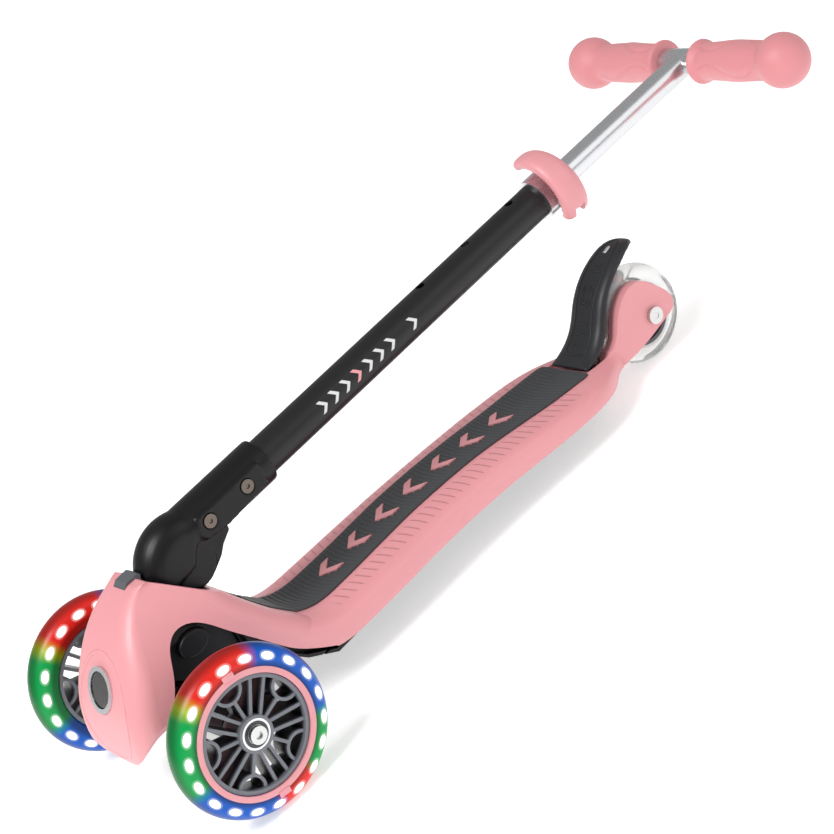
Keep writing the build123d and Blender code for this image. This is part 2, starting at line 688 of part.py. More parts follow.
def rear_nut():
    nut = hex_nut(7.4, 5.5, AXLE_R + 0.02)
    return Pos(AXLE_X, -ARM_OUT, REAR_R) * Rot(90, 0, 0) * nut


def rear_spacers():
    parts = []
    inner = 3.95 + BEARING_W + 0.05
    for sign in (-1.0, 1.0):
        a, b = sorted((sign * inner, sign * (ARM_IN - 0.02)))
        parts.append(turned([(a, AXLE_R + 0.02), (a, 6.2), (b, 6.2), (b, AXLE_R + 0.02)], AXLE_X, REAR_R))
    return Compound(parts)


# ------------------------------------------------------------------ T-bar
SLEEVE_END = -151.0
TUBE_FOOT = -97.0
TUBE_TOP = -480.0
PLUG_X = (-352.0, -398.0)
BOLT_XS = (-125.0, -88.0)
PAD_Y = 18.6


def elbow():
    """Cast elbow: a socket for the tube running into a round drum, slotted for the tongue."""
    sleeve = bar_tube(-70.0, SLEEVE_END, SLEEVE_R)
    profile = [(-DRUM_HALF, 0)]
    round_r = DRUM_HALF
    for i in range(7):
        a = radians(90.0 * i / 6)
        profile.append((-DRUM_HALF + round_r - round_r * cos(a), DRUM_R - round_r + round_r * sin(a)))
    profile = profile + [(-y, r) for y, r in reversed(profile)]
    drum = turned(profile, HINGE_X, HINGE_Z) & sector(DRUM_R + 5, -9.0, 126.0, 30)
    body = drum + sleeve + rod(HUB_R, DRUM_HALF - 2.0, HINGE_X, HINGE_Z)
    chin = [(-99, 138), (-96, 136.0), (-90, 132.5), (-84, 126.5), (-76, 121.8), (-67, 119.2), (-62, 135), (-62, 150), (-99, 150)]
    body = body + side_plate(chin, -DRUM_HALF + 3.5, DRUM_HALF - 3.5)
    pad = [(-140, 147.5), (-140, 166), (-80, 163), (-76, 150), (-80, 144.5), (-100, 143.0)]
    body = body + side_plate(pad, 8.0, PAD_Y)
    # socket for the tube, tongue slot, pin pocket and bolt holes
    body = body - bar_tube(TUBE_FOOT, SLEEVE_END - 5, OUTER_R + 0.02)
    slot = [(0, 0), (55, -100), (80, -60), (80, -20), (60, 16), (39, 20.5), (17, 38)]
    body = body - side_plate([polar(HINGE_X, HINGE_Z, r, a) for r, a in slot], -TONGUE_HALF - GAP, TONGUE_HALF + GAP)
    body = body - rod(15.0, TONGUE_HALF + GAP, HINGE_X, HINGE_Z)
    body = body - rod(HINGE_PIN_R + 0.01, 13.5, HINGE_X, HINGE_Z)
    for x in BOLT_XS:
        body = body - rod(2.55, 40, x, bar_z(x) + 0.5) - rod(5.3, 2.2, x, bar_z(x) + 0.5, y=PAD_Y)
    return body


def elbow_bolts():
    parts = []
    for x in BOLT_XS:
        z = bar_z(x) + 0.5
        bolt = rod(2.5, 15.9, x, z, y=0.7) + rod(5.1, 1.2, x, z, y=PAD_Y - 0.9)
        parts.append(bolt - rod(1.8, 1.0, x, z, y=PAD_Y + 0.3))
    return Compound(parts)


def snap_holes():
    """Cutters for the row of height holes, square to the T-bar."""
    cutters = []
    for i in (-1, 0, 1):
        place = bar_plane(SNAP_X + i * SNAP_PITCH).location
        hole = Rot(0, 90, 0) * Rot(90, 0, 0) * Cylinder(SNAP_R + 0.25, 60)
        cutters.append(place * hole)
    return Compound(cutters)


def outer_tube():
    tube = bar_tube(TUBE_FOOT - 0.2, TUBE_TOP, OUTER_R, OUTER_BORE) - snap_holes()
    for x in BOLT_XS:
        tube = tube - rod(2.55, 40, x, bar_z(x) + 0.5)
    return tube


def tube_bushing():
    """Plastic sleeve that centres the inner tube in the outer one's mouth."""
    return bar_tube(TUBE_TOP + 32, TUBE_TOP, OUTER_BORE - 0.02, INNER_R + 0.06)


def inner_tube():
    tube = bar_tube(PLUG_X[0], CROSS_X, INNER_R, INNER_BORE)
    tube = tube - rod(CROSS_R, 40, CROSS_X, bar_z(CROSS_X))
    return tube - snap_bore(4.2)


def snap_bore(radius):
    place = bar_plane(SNAP_X).location
    return place * Rot(90, 0, 0) * Cylinder(radius, 60)


def snap_carrier():
    """Plastic slider on the inner tube's foot, which guides it and holds the snap button."""
    foot, tip = PLUG_X
    slider = bar_tube(foot + 8.0, tip, OUTER_BORE - 0.12)
    slider = slider - bar_tube(foot, tip - 9, INNER_R + 0.02, INNER_BORE - 0.02) - bar_tube(foot - 42, tip - 9, 20)
    return slider - snap_bore(SNAP_R + 0.4)


def snap_button():
    """Spring button that locks the height, drawn just inside the outer tube's wall."""
    place = bar_plane(SNAP_X).location * Rot(90, 0, 0)
    body = Cylinder(SNAP_R, 14.0, align=(Align.CENTER, Align.CENTER, Align.MIN))
    body = fillet(body.edges().group_by(Axis.Z)[-1], 1.2)
    return place * Pos(0, 0, OUTER_BORE - 14.6) * body


def crossbar():
    z = bar_z(CROSS_X)
    return rod(CROSS_R, 121.0, CROSS_X, z) - rod(CROSS_R - 1.8, 130.0, CROSS_X, z)


GRIP_PROFILE = [(0.0, 12.0), (0.0, 16.4), (1.2, 17.2), (3.6, 17.0), (5.4, 15.2), (12, 14.6), (30, 15.3),
                (48, 15.6), (62, 15.0), (70, 14.6)]


def grip(side):
    """Soft grip with an inner flange and a ball end."""
    z = bar_z(CROSS_X)
    points = [(GRIP_START + a, r) for a, r in GRIP_PROFILE]
    start = -degrees(atan2(14.6, 15.6))
    steps = 10
    for i in range(steps + 1):
        a = radians(180.0 + start + (-180.0 - start) * i / steps)
        points.append((BALL_Y + BALL_R * cos(a), max(BALL_R * sin(a), 0.0)))
    points = [p for p in points if p[1] > 0.01 or p[0] > BALL_Y]
    points.append((GRIP_START, 0.0))
    pts = [(r, side * a, 0) for a, r in points]
    body = Pos(CROSS_X, 0, z) * revolve(closed_face(Polyline(*pts, close=True)), Axis.Y)
    return body - rod(CROSS_R + 0.02, 51.0, CROSS_X, z, y=side * (GRIP_START + 50.0))


# ------------------------------------------------------------------ height clamp
LEVER_IN = 22.4
LEVER_OUT = 35.4
LEVER_FROM = -36.0
LEVER_TO = 122.0
LEVER_PIN_AT = (25.0, -28.0)
LEVER_PIN_R = 2.0
COLLAR_R = 17.4
COLLAR_HALF = 14.0
EAR_HALF = 4.5


def clamp_place():
    return bar_plane(CLAMP_X).location


def lever_pin_xy():
    r, a = LEVER_PIN_AT
    return (r * cos(radians(a)), -r * sin(radians(a)))


def around(r, a):
    """A point round the T-bar at an angle from the near side towards the top, in the clamp plane."""
    return (r * cos(radians(a)), -r * sin(radians(a)))


def clamp_collar():
    """Split metal collar on the outer tube's end, with an ear for the lever's pin."""
    ring = Cylinder(COLLAR_R, 2 * COLLAR_HALF) - Cylinder(OUTER_R + 0.02, 60)
    px, py = lever_pin_xy()
    ear = Pos(px, py, 0) * Cylinder(4.6, 2 * EAR_HALF)
    near = around(15.6, -28.0 + 17.0)
    far = around(15.6, -28.0 - 17.0)
    out_a = around(26.0, -28.0 + 9.0)
    out_b = around(26.0, -28.0 - 9.0)
    web = Pos(0, 0, -EAR_HALF) * extrude(Polygon(near, out_a, out_b, far, align=None), amount=2 * EAR_HALF)
    collar = ring + ear + (web - Cylinder(OUTER_R + 0.02, 60) - Pos(px, py, 0) * Cylinder(9, 60)
                           + (web & Pos(px, py, 0) * Cylinder(4.6, 60)))
    collar = collar + (web & Cylinder(21.5, 60) - Cylinder(OUTER_R + 0.02, 60))
    slit = Pos(*around(16, 150.0), 0) * Rot(0, 0, 30.0) * Box(8, 2.0, 60)
    collar = collar - slit - Pos(px, py, 0) * Cylinder(LEVER_PIN_R + 0.01, 60)
    return clamp_place() * collar


def lever_pin():
    px, py = lever_pin_xy()
    return clamp_place() * Pos(px, py, 0) * Cylinder(LEVER_PIN_R, 2 * 13.5)


def clamp_lever():
    """Crescent lever round the collar, forked at its low end."""
    steps = 16
    span = LEVER_TO - LEVER_FROM
    outer = []
    inner = []
    for i in range(steps + 1):
        a = LEVER_FROM + span * i / steps
        swell = sin(radians(180.0 * i / steps))
        outer.append(around(LEVER_OUT - 4.0 + 4.0 * swell ** 0.6 - (1.5 if i == steps else 0), a))
        inner.append(around(LEVER_IN, a))
    band = closed_face(Spline(*[(x, y, -16) for x, y in outer]), Line((*outer[-1], -16), (*inner[-1], -16)),
                       Spline(*[(x, y, -16) for x, y in reversed(inner)]), Line((*inner[0], -16), (*outer[0], -16)))
    lever = extrude(band, amount=32, dir=(0, 0, 1))
    # narrower towards the thumb end, seen from the side
    low = around(30, LEVER_FROM)
    top = around(30, 90)
    run = top[1] - low[1]
    taper = [(low[1] + 12, 15.0), (low[1] - 4, 15.2), (top[1] + 0.35 * -run, 12.6), (top[1] - 14, 9.6)]
    outline = [(0, y, s) for y, s in taper] + [(0, y, -s) for y, s in reversed(taper)]
    window = extrude(closed_face(Polyline(*outline, close=True)), amount=60, dir=(1, 0, 0), both=True)
    lever = lever & window
    px, py = lever_pin_xy()
    lever = lever - Pos(px, py, 0) * Cylinder(8.6, 2 * EAR_HALF + 0.8)
    lever = lever - Pos(px, py, 0) * Cylinder(LEVER_PIN_R + 0.05, 60)
    return clamp_place() * lever


# ------------------------------------------------------------------ small fasteners
SCREW_SPOTS = [(-130, 30), (-130, -30), (-245, 30), (-245, -30), (-345, 30), (-345, -30)]


def screw_bosses():
    return Compound([Pos(x, y, 32) * Cylinder(5.0, 14.0) for x, y in SCREW_SPOTS])


def underframe_screws():
    parts = []
    for x, y in SCREW_SPOTS:
        head = Pos(x, y, 23.9) * Cylinder(3.6, 2.0)
        parts.append(head + Pos(x, y, 31) * Cylinder(1.8, 13.0))
    return Compound(parts)


# ------------------------------------------------------------------ write every piece
def build():
    shell = deck_shell()
    save(shell, "deck_shell")
    save(deck_mat(), "deck_mat")
    save(deck_inlays(), "deck_inlays")
    screws = underframe_screws()
    frame = (underframe() + screw_bosses() + brake_lug()) - shell - screws - brake_room()
    save(frame, "deck_underframe")
    save(screws, "underframe_screws")
    save(bumper_form(0.05), "neck_bumper")
    save(hinge_block(), "hinge_block")
    save(kingpin(), "kingpin")
    save(kingpin_nut(), "kingpin_nut")
    save(lock_bezel(), "lock_bezel")
    save(lock_button(), "lock_button")
    save(fold_button(), "fold_button")
    save(coil(6.6, 0.7, 3, 4.0, Pos(BUTTON_AT[0], 25.9, BUTTON_AT[1]) * Rot(-90, 0, 0)), "fold_button_spring")
    save(rod(BRAKE_PIN_R, 18.0, *BRAKE_PIN), "brake_pin")
    save(brake_pedal(), "brake_pedal")
    save(rear_axle(), "rear_axle_bolt")
    save(rear_nut(), "rear_axle_nut")
    save(rear_spacers(), "rear_axle_spacers")
    save(axle_carrier(), "axle_carrier")
    save(kingpin_bushings(), "kingpin_bushings")
    for name, sign in SIDES.items():
        hub_at = Pos(0, sign * TRACK_HALF, FRONT_R)
        wheel_tyre = front_tyre(sign)
        lamps = Compound([led_pocket(i, sign) & wheel_tyre for i in range(LED_COUNT)])
        bolt, spacer = axle_bolt(sign)
        save(hub_at * (wheel_tyre - lamps), "front_tyre_" + name)
        save(hub_at * lamps, "front_lamps_" + name)
        save(hub_at * front_hub(sign), "front_hub_" + name)
        save(hub_at * wheel_ring(sign), "front_ring_" + name)
        save(hub_at * bearings(3.95), "front_bearings_" + name)
        save(hub_at * bearing_spacer(), "front_bearing_spacer_" + name)
        save(bolt, "front_axle_bolt_" + name)
        save(spacer, "front_axle_spacer_" + name)
    rear_at = Pos(AXLE_X, 0, REAR_R)
    save(rear_at * tyre(REAR_R, REAR_HALF_W, 25.5, 33.0), "rear_tyre")
    save(rear_at * rear_hub(), "rear_hub")
    save(rear_at * bearings(3.95), "rear_bearings")
    save(rear_at * bearing_spacer(), "rear_bearing_spacer")
    save(elbow(), "elbow")
    save(rod(HINGE_PIN_R, 13.4, HINGE_X, HINGE_Z), "hinge_pin")
    save(elbow_bolts(), "elbow_bolts")
    save(outer_tube(), "outer_tube")
    save(tube_bushing(), "tube_bushing")
    save(clamp_collar(), "clamp_collar")
    save(lever_pin(), "lever_pin")
    save(clamp_lever(), "clamp_lever")
    save(inner_tube(), "inner_tube")
    save(snap_carrier(), "snap_carrier")
    save(snap_button(), "snap_button")
    save(crossbar(), "crossbar")
    for name, sign in SIDES.items():
        save(grip(sign), "grip_" + name)


build()
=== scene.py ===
import json
from math import cos, exp, pi, radians, sin, sqrt

import bmesh
import bpy
from mathutils import Matrix, Vector
from mathutils.bvhtree import BVHTree


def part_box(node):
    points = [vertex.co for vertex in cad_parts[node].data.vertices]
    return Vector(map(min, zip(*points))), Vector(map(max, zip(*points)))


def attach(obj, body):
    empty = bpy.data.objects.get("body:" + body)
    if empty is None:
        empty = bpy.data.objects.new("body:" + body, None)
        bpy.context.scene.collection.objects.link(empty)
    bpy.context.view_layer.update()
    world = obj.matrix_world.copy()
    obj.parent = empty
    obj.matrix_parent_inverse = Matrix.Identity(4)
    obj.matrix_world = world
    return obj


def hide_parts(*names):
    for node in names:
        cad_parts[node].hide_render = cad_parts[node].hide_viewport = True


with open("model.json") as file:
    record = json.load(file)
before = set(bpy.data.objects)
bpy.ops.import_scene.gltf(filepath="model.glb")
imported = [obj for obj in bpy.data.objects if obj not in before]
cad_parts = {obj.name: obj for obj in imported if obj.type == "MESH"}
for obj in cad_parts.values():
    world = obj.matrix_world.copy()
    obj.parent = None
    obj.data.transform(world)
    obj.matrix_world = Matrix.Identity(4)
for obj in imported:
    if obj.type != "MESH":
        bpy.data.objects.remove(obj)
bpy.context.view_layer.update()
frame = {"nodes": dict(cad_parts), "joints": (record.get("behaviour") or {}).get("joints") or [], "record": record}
NODES = frame["nodes"]
JOINTS = {joint["name"]: joint for joint in frame["joints"]}
MM = 0.001
SIDES = {"left": 1.0, "right": -1.0}


def joint_place(name):
    return Vector(JOINTS[name]["pos_m"])


def joint_axis(name):
    return Vector(JOINTS[name]["axis"]).normalized()


BAR_DIR = joint_axis("bar_height")
FRONT_AXLE = (joint_place("front_left_spin") + joint_place("front_right_spin")) / 2
REAR_AXLE = joint_place("rear_spin")


LAMPS = 19
LAMP_R = 53.2 * MM
LAMP_SIZE = (2.7 * MM, 1.2 * MM, 4.9 * MM, 1.0)
HALO_HALF_LONG = 6.2 * MM
HALO_HALF_HIGH = 3.4 * MM
TYRE_R = 60.5 * MM
TYRE_HALF = 12.0 * MM


# ---------------------------------------------------------------- shader groups
def new_group(name, inputs, outputs):
    """An empty shader group with named sockets; each input is (name, kind, value)."""
    group = bpy.data.node_groups.new(name, "ShaderNodeTree")
    for label, kind, value in inputs:
        socket = group.interface.new_socket(name=label, in_out="INPUT", socket_type="NodeSocket" + kind)
        socket.default_value = value
    for label, kind in outputs:
        group.interface.new_socket(name=label, in_out="OUTPUT", socket_type="NodeSocket" + kind)
    nodes = group.nodes
    return group, nodes.new("NodeGroupInput"), nodes.new("NodeGroupOutput"), nodes, group.links


def add_math(nodes, links, operation, first, second=None, third=None, clamp=False):
    node = nodes.new("ShaderNodeMath")
    node.operation = operation
    node.use_clamp = clamp
    for index, value in enumerate((first, second, third)):
        if value is None:
            continue
        if isinstance(value, (int, float)):
            node.inputs[index].default_value = value
        else:
            links.new(value, node.inputs[index])
    return node.outputs[0]


def add_mix(nodes, links, factor, first, second):
    node = nodes.new("ShaderNodeMix")
    node.data_type = "RGBA"
    for socket, value in ((node.inputs[0], factor), (node.inputs[6], first), (node.inputs[7], second)):
        if isinstance(value, (int, float, tuple)):
            socket.default_value = value
        else:
            links.new(value, socket)
    return node.outputs[2]


def moulded_grain():
    """Fine spark-eroded grain with a slow drift of tone, as on moulded plastic and rubber."""
    group, source, sink, nodes, links = new_group(
        "moulded_grain",
        [("Colour", "Color", (0.5, 0.5, 0.5, 1)), ("Grain Size", "Float", 900.0),
         ("Tone Drift", "Float", 0.06),
         ("Roughness", "Float", 0.45), ("Roughness Drift", "Float", 0.08)],
        [("Colour", "Color"), ("Roughness", "Float"), ("Height", "Float")])
    where = nodes.new("ShaderNodeTexCoord").outputs["Object"]
    fine = nodes.new("ShaderNodeTexNoise")
    links.new(where, fine.inputs["Vector"])
    links.new(source.outputs["Grain Size"], fine.inputs["Scale"])
    fine.inputs["Detail"].default_value = 3.0
    slow = nodes.new("ShaderNodeTexNoise")
    links.new(where, slow.inputs["Vector"])
    slow.inputs["Scale"].default_value = 14.0
    slow.inputs["Detail"].default_value = 4.0
    drift = add_math(nodes, links, "SUBTRACT", slow.outputs[0], 0.5)
    tone = add_math(nodes, links, "MULTIPLY", drift, source.outputs["Tone Drift"])
    value = add_math(nodes, links, "ADD", tone, 1.0)
    shade = nodes.new("ShaderNodeHueSaturation")
    links.new(source.outputs["Colour"], shade.inputs["Color"])
    links.new(value, shade.inputs["Value"])
    links.new(shade.outputs[0], sink.inputs["Colour"])
    speck = add_math(nodes, links, "SUBTRACT", fine.outputs[0], 0.5)
    rough = add_math(nodes, links, "MULTIPLY", add_math(nodes, links, "ADD", speck, drift),
                     source.outputs["Roughness Drift"])
    links.new(add_math(nodes, links, "ADD", rough, source.outputs["Roughness"]), sink.inputs["Roughness"])
    links.new(fine.outputs[0], sink.inputs["Height"])
    return group


def brushed_lines():
    """Long fine scratches round or along a metal part."""
    group, source, sink, nodes, links = new_group(
        "brushed_lines",
        [("Stretch", "Vector", (1.0, 1.0, 1.0)), ("Roughness", "Float", 0.28),
         ("Roughness Drift", "Float", 0.2),
         ("Colour", "Color", (0.8, 0.8, 0.8, 1))],
        [("Colour", "Color"), ("Roughness", "Float"), ("Height", "Float")])
    where = nodes.new("ShaderNodeTexCoord").outputs["Object"]
    stretch = nodes.new("ShaderNodeVectorMath")
    stretch.operation = "MULTIPLY"
    links.new(where, stretch.inputs[0])
    links.new(source.outputs["Stretch"], stretch.inputs[1])
    lines = nodes.new("ShaderNodeTexNoise")
    links.new(stretch.outputs[0], lines.inputs["Vector"])
    lines.inputs["Scale"].default_value = 1.0
    lines.inputs["Detail"].default_value = 6.0
    off = add_math(nodes, links, "SUBTRACT", lines.outputs[0], 0.5)
    rough = add_math(nodes, links, "MULTIPLY", off, source.outputs["Roughness Drift"])
    links.new(add_math(nodes, links, "ADD", rough, source.outputs["Roughness"]), sink.inputs["Roughness"])
    shade = nodes.new("ShaderNodeHueSaturation")
    links.new(source.outputs["Colour"], shade.inputs["Color"])
    links.new(add_math(nodes, links, "MULTIPLY_ADD", off, 0.12, 1.0), shade.inputs["Value"])
    links.new(shade.outputs[0], sink.inputs["Colour"])
    links.new(lines.outputs[0], sink.inputs["Height"])
    return group


def wheel_frame():
    """Polar place about a wheel's axle: the turn from 0 to 1, and the distance out in metres."""
    group, source, sink, nodes, links = new_group(
        "wheel_frame", [("Centre", "Vector", (0.0, 0.0, 0.0))],
        [("Turn", "Float"), ("Distance", "Float"), ("Across", "Float")])
    where = nodes.new("ShaderNodeTexCoord").outputs["Object"]
    offset = nodes.new("ShaderNodeVectorMath")
    offset.operation = "SUBTRACT"
    links.new(where, offset.inputs[0])
    links.new(source.outputs["Centre"], offset.inputs[1])
    split = nodes.new("ShaderNodeSeparateXYZ")
    links.new(offset.outputs[0], split.inputs[0])
    angle = add_math(nodes, links, "ARCTAN2", split.outputs["Z"], split.outputs["X"])
    turn = add_math(nodes, links, "MULTIPLY", angle, 1.0 / (2.0 * pi))
    links.new(add_math(nodes, links, "FRACT", add_math(nodes, links, "ADD", turn, 1.0)), sink.inputs["Turn"])
    square = add_math(nodes, links, "ADD", add_math(nodes, links, "POWER", split.outputs["X"], 2.0),
                      add_math(nodes, links, "POWER", split.outputs["Z"], 2.0))
    links.new(add_math(nodes, links, "SQRT", square), sink.inputs["Distance"])
    links.new(split.outputs["Y"], sink.inputs["Across"])
    return group


GRAIN = moulded_grain()
LINES = brushed_lines()
POLAR = wheel_frame()


def blank(name):
    """A material with a Principled shader; returns it with its nodes, links and shader."""
    material = bpy.data.materials.new(name)
    material.use_nodes = True
    nodes = material.node_tree.nodes
    return material, nodes, material.node_tree.links, nodes["Principled BSDF"]


def place_group(nodes, group, **values):
    node = nodes.new("ShaderNodeGroup")
    node.node_tree = group
    for label, value in values.items():
        node.inputs[label.replace("_", " ")].default_value = value
    return node


def bump(nodes, links, height, distance, target, strength=1.0):
    node = nodes.new("ShaderNodeBump")
    node.inputs["Distance"].default_value = distance
    node.inputs["Strength"].default_value = strength
    links.new(height, node.inputs["Height"])
    links.new(node.outputs[0], target.inputs["Normal"])
    return node


def moulded(name, colour, roughness, grain=900.0, depth=0.00002, coat=0.0, drift=0.06, sheen=0.0,
            specular=0.5):
    """Moulded plastic or rubber with its grain."""
    material, nodes, links, shader = blank(name)
    node = place_group(nodes, GRAIN, Colour=(*colour, 1), Grain_Size=grain, Tone_Drift=drift,
                       Roughness=roughness)
    links.new(node.outputs["Colour"], shader.inputs["Base Color"])
    links.new(node.outputs["Roughness"], shader.inputs["Roughness"])
    bump(nodes, links, node.outputs["Height"], depth, shader)
    shader.inputs["Coat Weight"].default_value = coat
    shader.inputs["Coat Roughness"].default_value = 0.2
    shader.inputs["Sheen Weight"].default_value = sheen
    shader.inputs["Specular IOR Level"].default_value = specular
    return material


def metal(name, colour, roughness, stretch, metallic=1.0, depth=0.00001, spread=0.2):
    """Metal with drawn or turned lines."""
    material, nodes, links, shader = blank(name)
    node = place_group(nodes, LINES, Colour=(*colour, 1), Roughness=roughness, Stretch=stretch,
                       Roughness_Drift=spread)
    links.new(node.outputs["Colour"], shader.inputs["Base Color"])
    links.new(node.outputs["Roughness"], shader.inputs["Roughness"])
    bump(nodes, links, node.outputs["Height"], depth, shader)
    shader.inputs["Metallic"].default_value = metallic
    return material


PINK = (0.80, 0.335, 0.36)
MAT_GREY = (0.045, 0.048, 0.052)
STRIP_PITCH = 0.0075

FINISH = {
    "pink_shell": moulded("pink_moulding", PINK, 0.42, coat=0.12),
    "black_plastic": moulded("black_nylon", (0.006, 0.006, 0.007), 0.4,
                             grain=1400.0, depth=0.00003, specular=0.3),
    "mat_rubber": moulded("mat_rubber", MAT_GREY, 0.55, grain=1800.0),
    "grey_plastic": moulded("grey_hub_plastic", (0.085, 0.09, 0.105), 0.38, grain=1200.0),
    "brake_plastic": moulded("brake_plastic", (0.022, 0.023, 0.026), 0.42,
                             grain=1300.0, depth=0.00004, specular=0.4),
    "casting_black": moulded("black_powder_coat", (0.004, 0.004, 0.005), 0.38, grain=1500.0, depth=0.00003,
                             specular=0.32),
    "tube_black": metal("dark_anodised_tube", (0.011, 0.011, 0.012), 0.42, (40.0, 2600.0, 2600.0), 0.2),
    "tube_silver": metal("satin_aluminium", (0.70, 0.71, 0.73), 0.27, (30.0, 3000.0, 3000.0), depth=0.000004),
    "zinc_steel": metal("zinc_plate", (0.62, 0.63, 0.62), 0.24, (900.0, 900.0, 900.0), spread=0.3),
    "chrome_steel": metal("chrome", (0.85, 0.86, 0.88), 0.08, (300.0, 300.0, 300.0)),
    "grip_rubber": moulded("pink_grip_rubber", (0.76, 0.28, 0.30), 0.52, grain=1100.0, sheen=0.15),
    "bumper_rubber": moulded("grey_bumper_rubber", (0.10, 0.11, 0.12), 0.6, grain=1300.0),
    "bushing_rubber": moulded("black_bushing_rubber", (0.02, 0.02, 0.02), 0.7, grain=1300.0),
    "button_black": moulded("glossy_button", (0.012, 0.008, 0.008), 0.16,
                             grain=500.0, depth=0.000004, coat=0.6),
}
DARK_SCREW = metal("bronzed_screw", (0.16, 0.13, 0.11), 0.35, (800.0, 800.0, 800.0), 0.9)
WHITE_PRINT = moulded("white_print", (0.72, 0.72, 0.72), 0.5, grain=1500.0)


def row(x, y, z):
    """A point given in mm from the ground under the front axle, in the frame's metres."""
    return Vector((FRONT_AXLE.x + x * MM, y * MM, z * MM))


def ribbed_mat():
    """Dark grey mat rubber with its grain."""
    return moulded("mat_rubber_top", (0.062, 0.064, 0.068), 0.5, grain=1800.0, specular=0.35)


def grooved_deck():
    """Pink moulding with slanting grooves in the two strips beside the mat; painted shade darkens the pink inside
    the grooves.
    """
    material, nodes, links, shader = blank("pink_deck")
    grain = place_group(nodes, GRAIN, Colour=(*PINK, 1), Grain_Size=900.0, Roughness=0.42)
    split = nodes.new("ShaderNodeSeparateXYZ")
    links.new(nodes.new("ShaderNodeTexCoord").outputs["Object"], split.inputs[0])
    aside = add_math(nodes, links, "ABSOLUTE", split.outputs["Y"])
    run = add_math(nodes, links, "ADD", split.outputs["X"], add_math(nodes, links, "MULTIPLY", aside, 0.29))
    wave = add_math(nodes, links, "SINE", add_math(nodes, links, "MULTIPLY", run, 2.0 * pi / STRIP_PITCH))
    crest = add_math(nodes, links, "SUBTRACT", wave, 0.72, clamp=True)
    ridge = add_math(nodes, links, "MULTIPLY", crest, 3.6)
    rise = split.outputs["Z"]
    start, end = FRONT_AXLE.x - 0.385, FRONT_AXLE.x - 0.128
    keep = band_mask(nodes, links, aside, 0.0305, 0.0445, 0.0012)
    length = band_mask(nodes, links, split.outputs["X"], start, end, 0.004)
    keep = add_math(nodes, links, "MULTIPLY", keep, length)
    keep = add_math(nodes, links, "MULTIPLY", keep, band_mask(nodes, links, rise, 0.040, 0.080, 0.002))
    cut = add_math(nodes, links, "MULTIPLY", ridge, keep)
    # painted shade: inside the grooves the pink is mixed towards a darker pink (0.58, 0.19, 0.22)
    shade = add_mix(nodes, links, add_math(nodes, links, "MULTIPLY", cut, 0.45), grain.outputs["Colour"],
                    (0.58, 0.19, 0.22, 1))
    links.new(shade, shader.inputs["Base Color"])
    links.new(grain.outputs["Roughness"], shader.inputs["Roughness"])
    low = add_math(nodes, links, "MULTIPLY", cut, -1.0)
    height = add_math(nodes, links, "MULTIPLY_ADD", grain.outputs["Height"], 0.02, low)
    bump(nodes, links, height, 0.0006, shader)
    shader.inputs["Coat Weight"].default_value = 0.08
    return material


def band_mask(nodes, links, value, low, high, soft):
    """1 between two limits and 0 outside, with soft edges."""
    above = nodes.new("ShaderNodeMapRange")
    below = nodes.new("ShaderNodeMapRange")
    for node, start, end in ((above, low - soft, low + soft), (below, high + soft, high - soft)):
        node.inputs["From Min"].default_value = start
        node.inputs["From Max"].default_value = end
        links.new(value, node.inputs["Value"])
    return add_math(nodes, links, "MULTIPLY", above.outputs[0], below.outputs[0])


def hub_with_painted_shade(name, centre):
    """Grey hub plastic with painted shade: darker down between the spokes."""
    material, nodes, links, shader = blank(name)
    polar = place_group(nodes, POLAR, Centre=tuple(centre))
    grain = place_group(nodes, GRAIN, Colour=(0.17, 0.18, 0.205, 1), Grain_Size=1200.0, Roughness=0.34)
    # painted shade: close to the hub's middle plane, down between the spokes, the colour goes to near black
    # (0.012, 0.012, 0.015)
    depth = nodes.new("ShaderNodeMapRange")
    links.new(add_math(nodes, links, "ABSOLUTE", polar.outputs["Across"]), depth.inputs["Value"])
    depth.inputs["From Min"].default_value = 0.0055
    depth.inputs["From Max"].default_value = 0.0088
    colour = add_mix(nodes, links, depth.outputs[0], (0.012, 0.012, 0.015, 1), grain.outputs["Colour"])
    links.new(colour, shader.inputs["Base Color"])
    links.new(grain.outputs["Roughness"], shader.inputs["Roughness"])
    bump(nodes, links, grain.outputs["Height"], 0.00002, shader)
    return material


def bearing_face(name, centre):
    """Steel rings of a bearing with the dark seal between them."""
    material, nodes, links, shader = blank(name)
    polar = place_group(nodes, POLAR, Centre=tuple(centre))
    lines = place_group(nodes, LINES, Colour=(0.75, 0.76, 0.78, 1), Roughness=0.2,
                        Stretch=(500.0, 500.0, 500.0))
    seal = band_mask(nodes, links, polar.outputs["Distance"], 0.0066, 0.0094, 0.0001)
    colour = add_mix(nodes, links, seal, lines.outputs["Colour"], (0.05, 0.05, 0.055, 1))
    links.new(colour, shader.inputs["Base Color"])
    links.new(lines.outputs["Roughness"], shader.inputs["Roughness"])
    links.new(add_math(nodes, links, "SUBTRACT", 1.0, seal), shader.inputs["Metallic"])
    return material


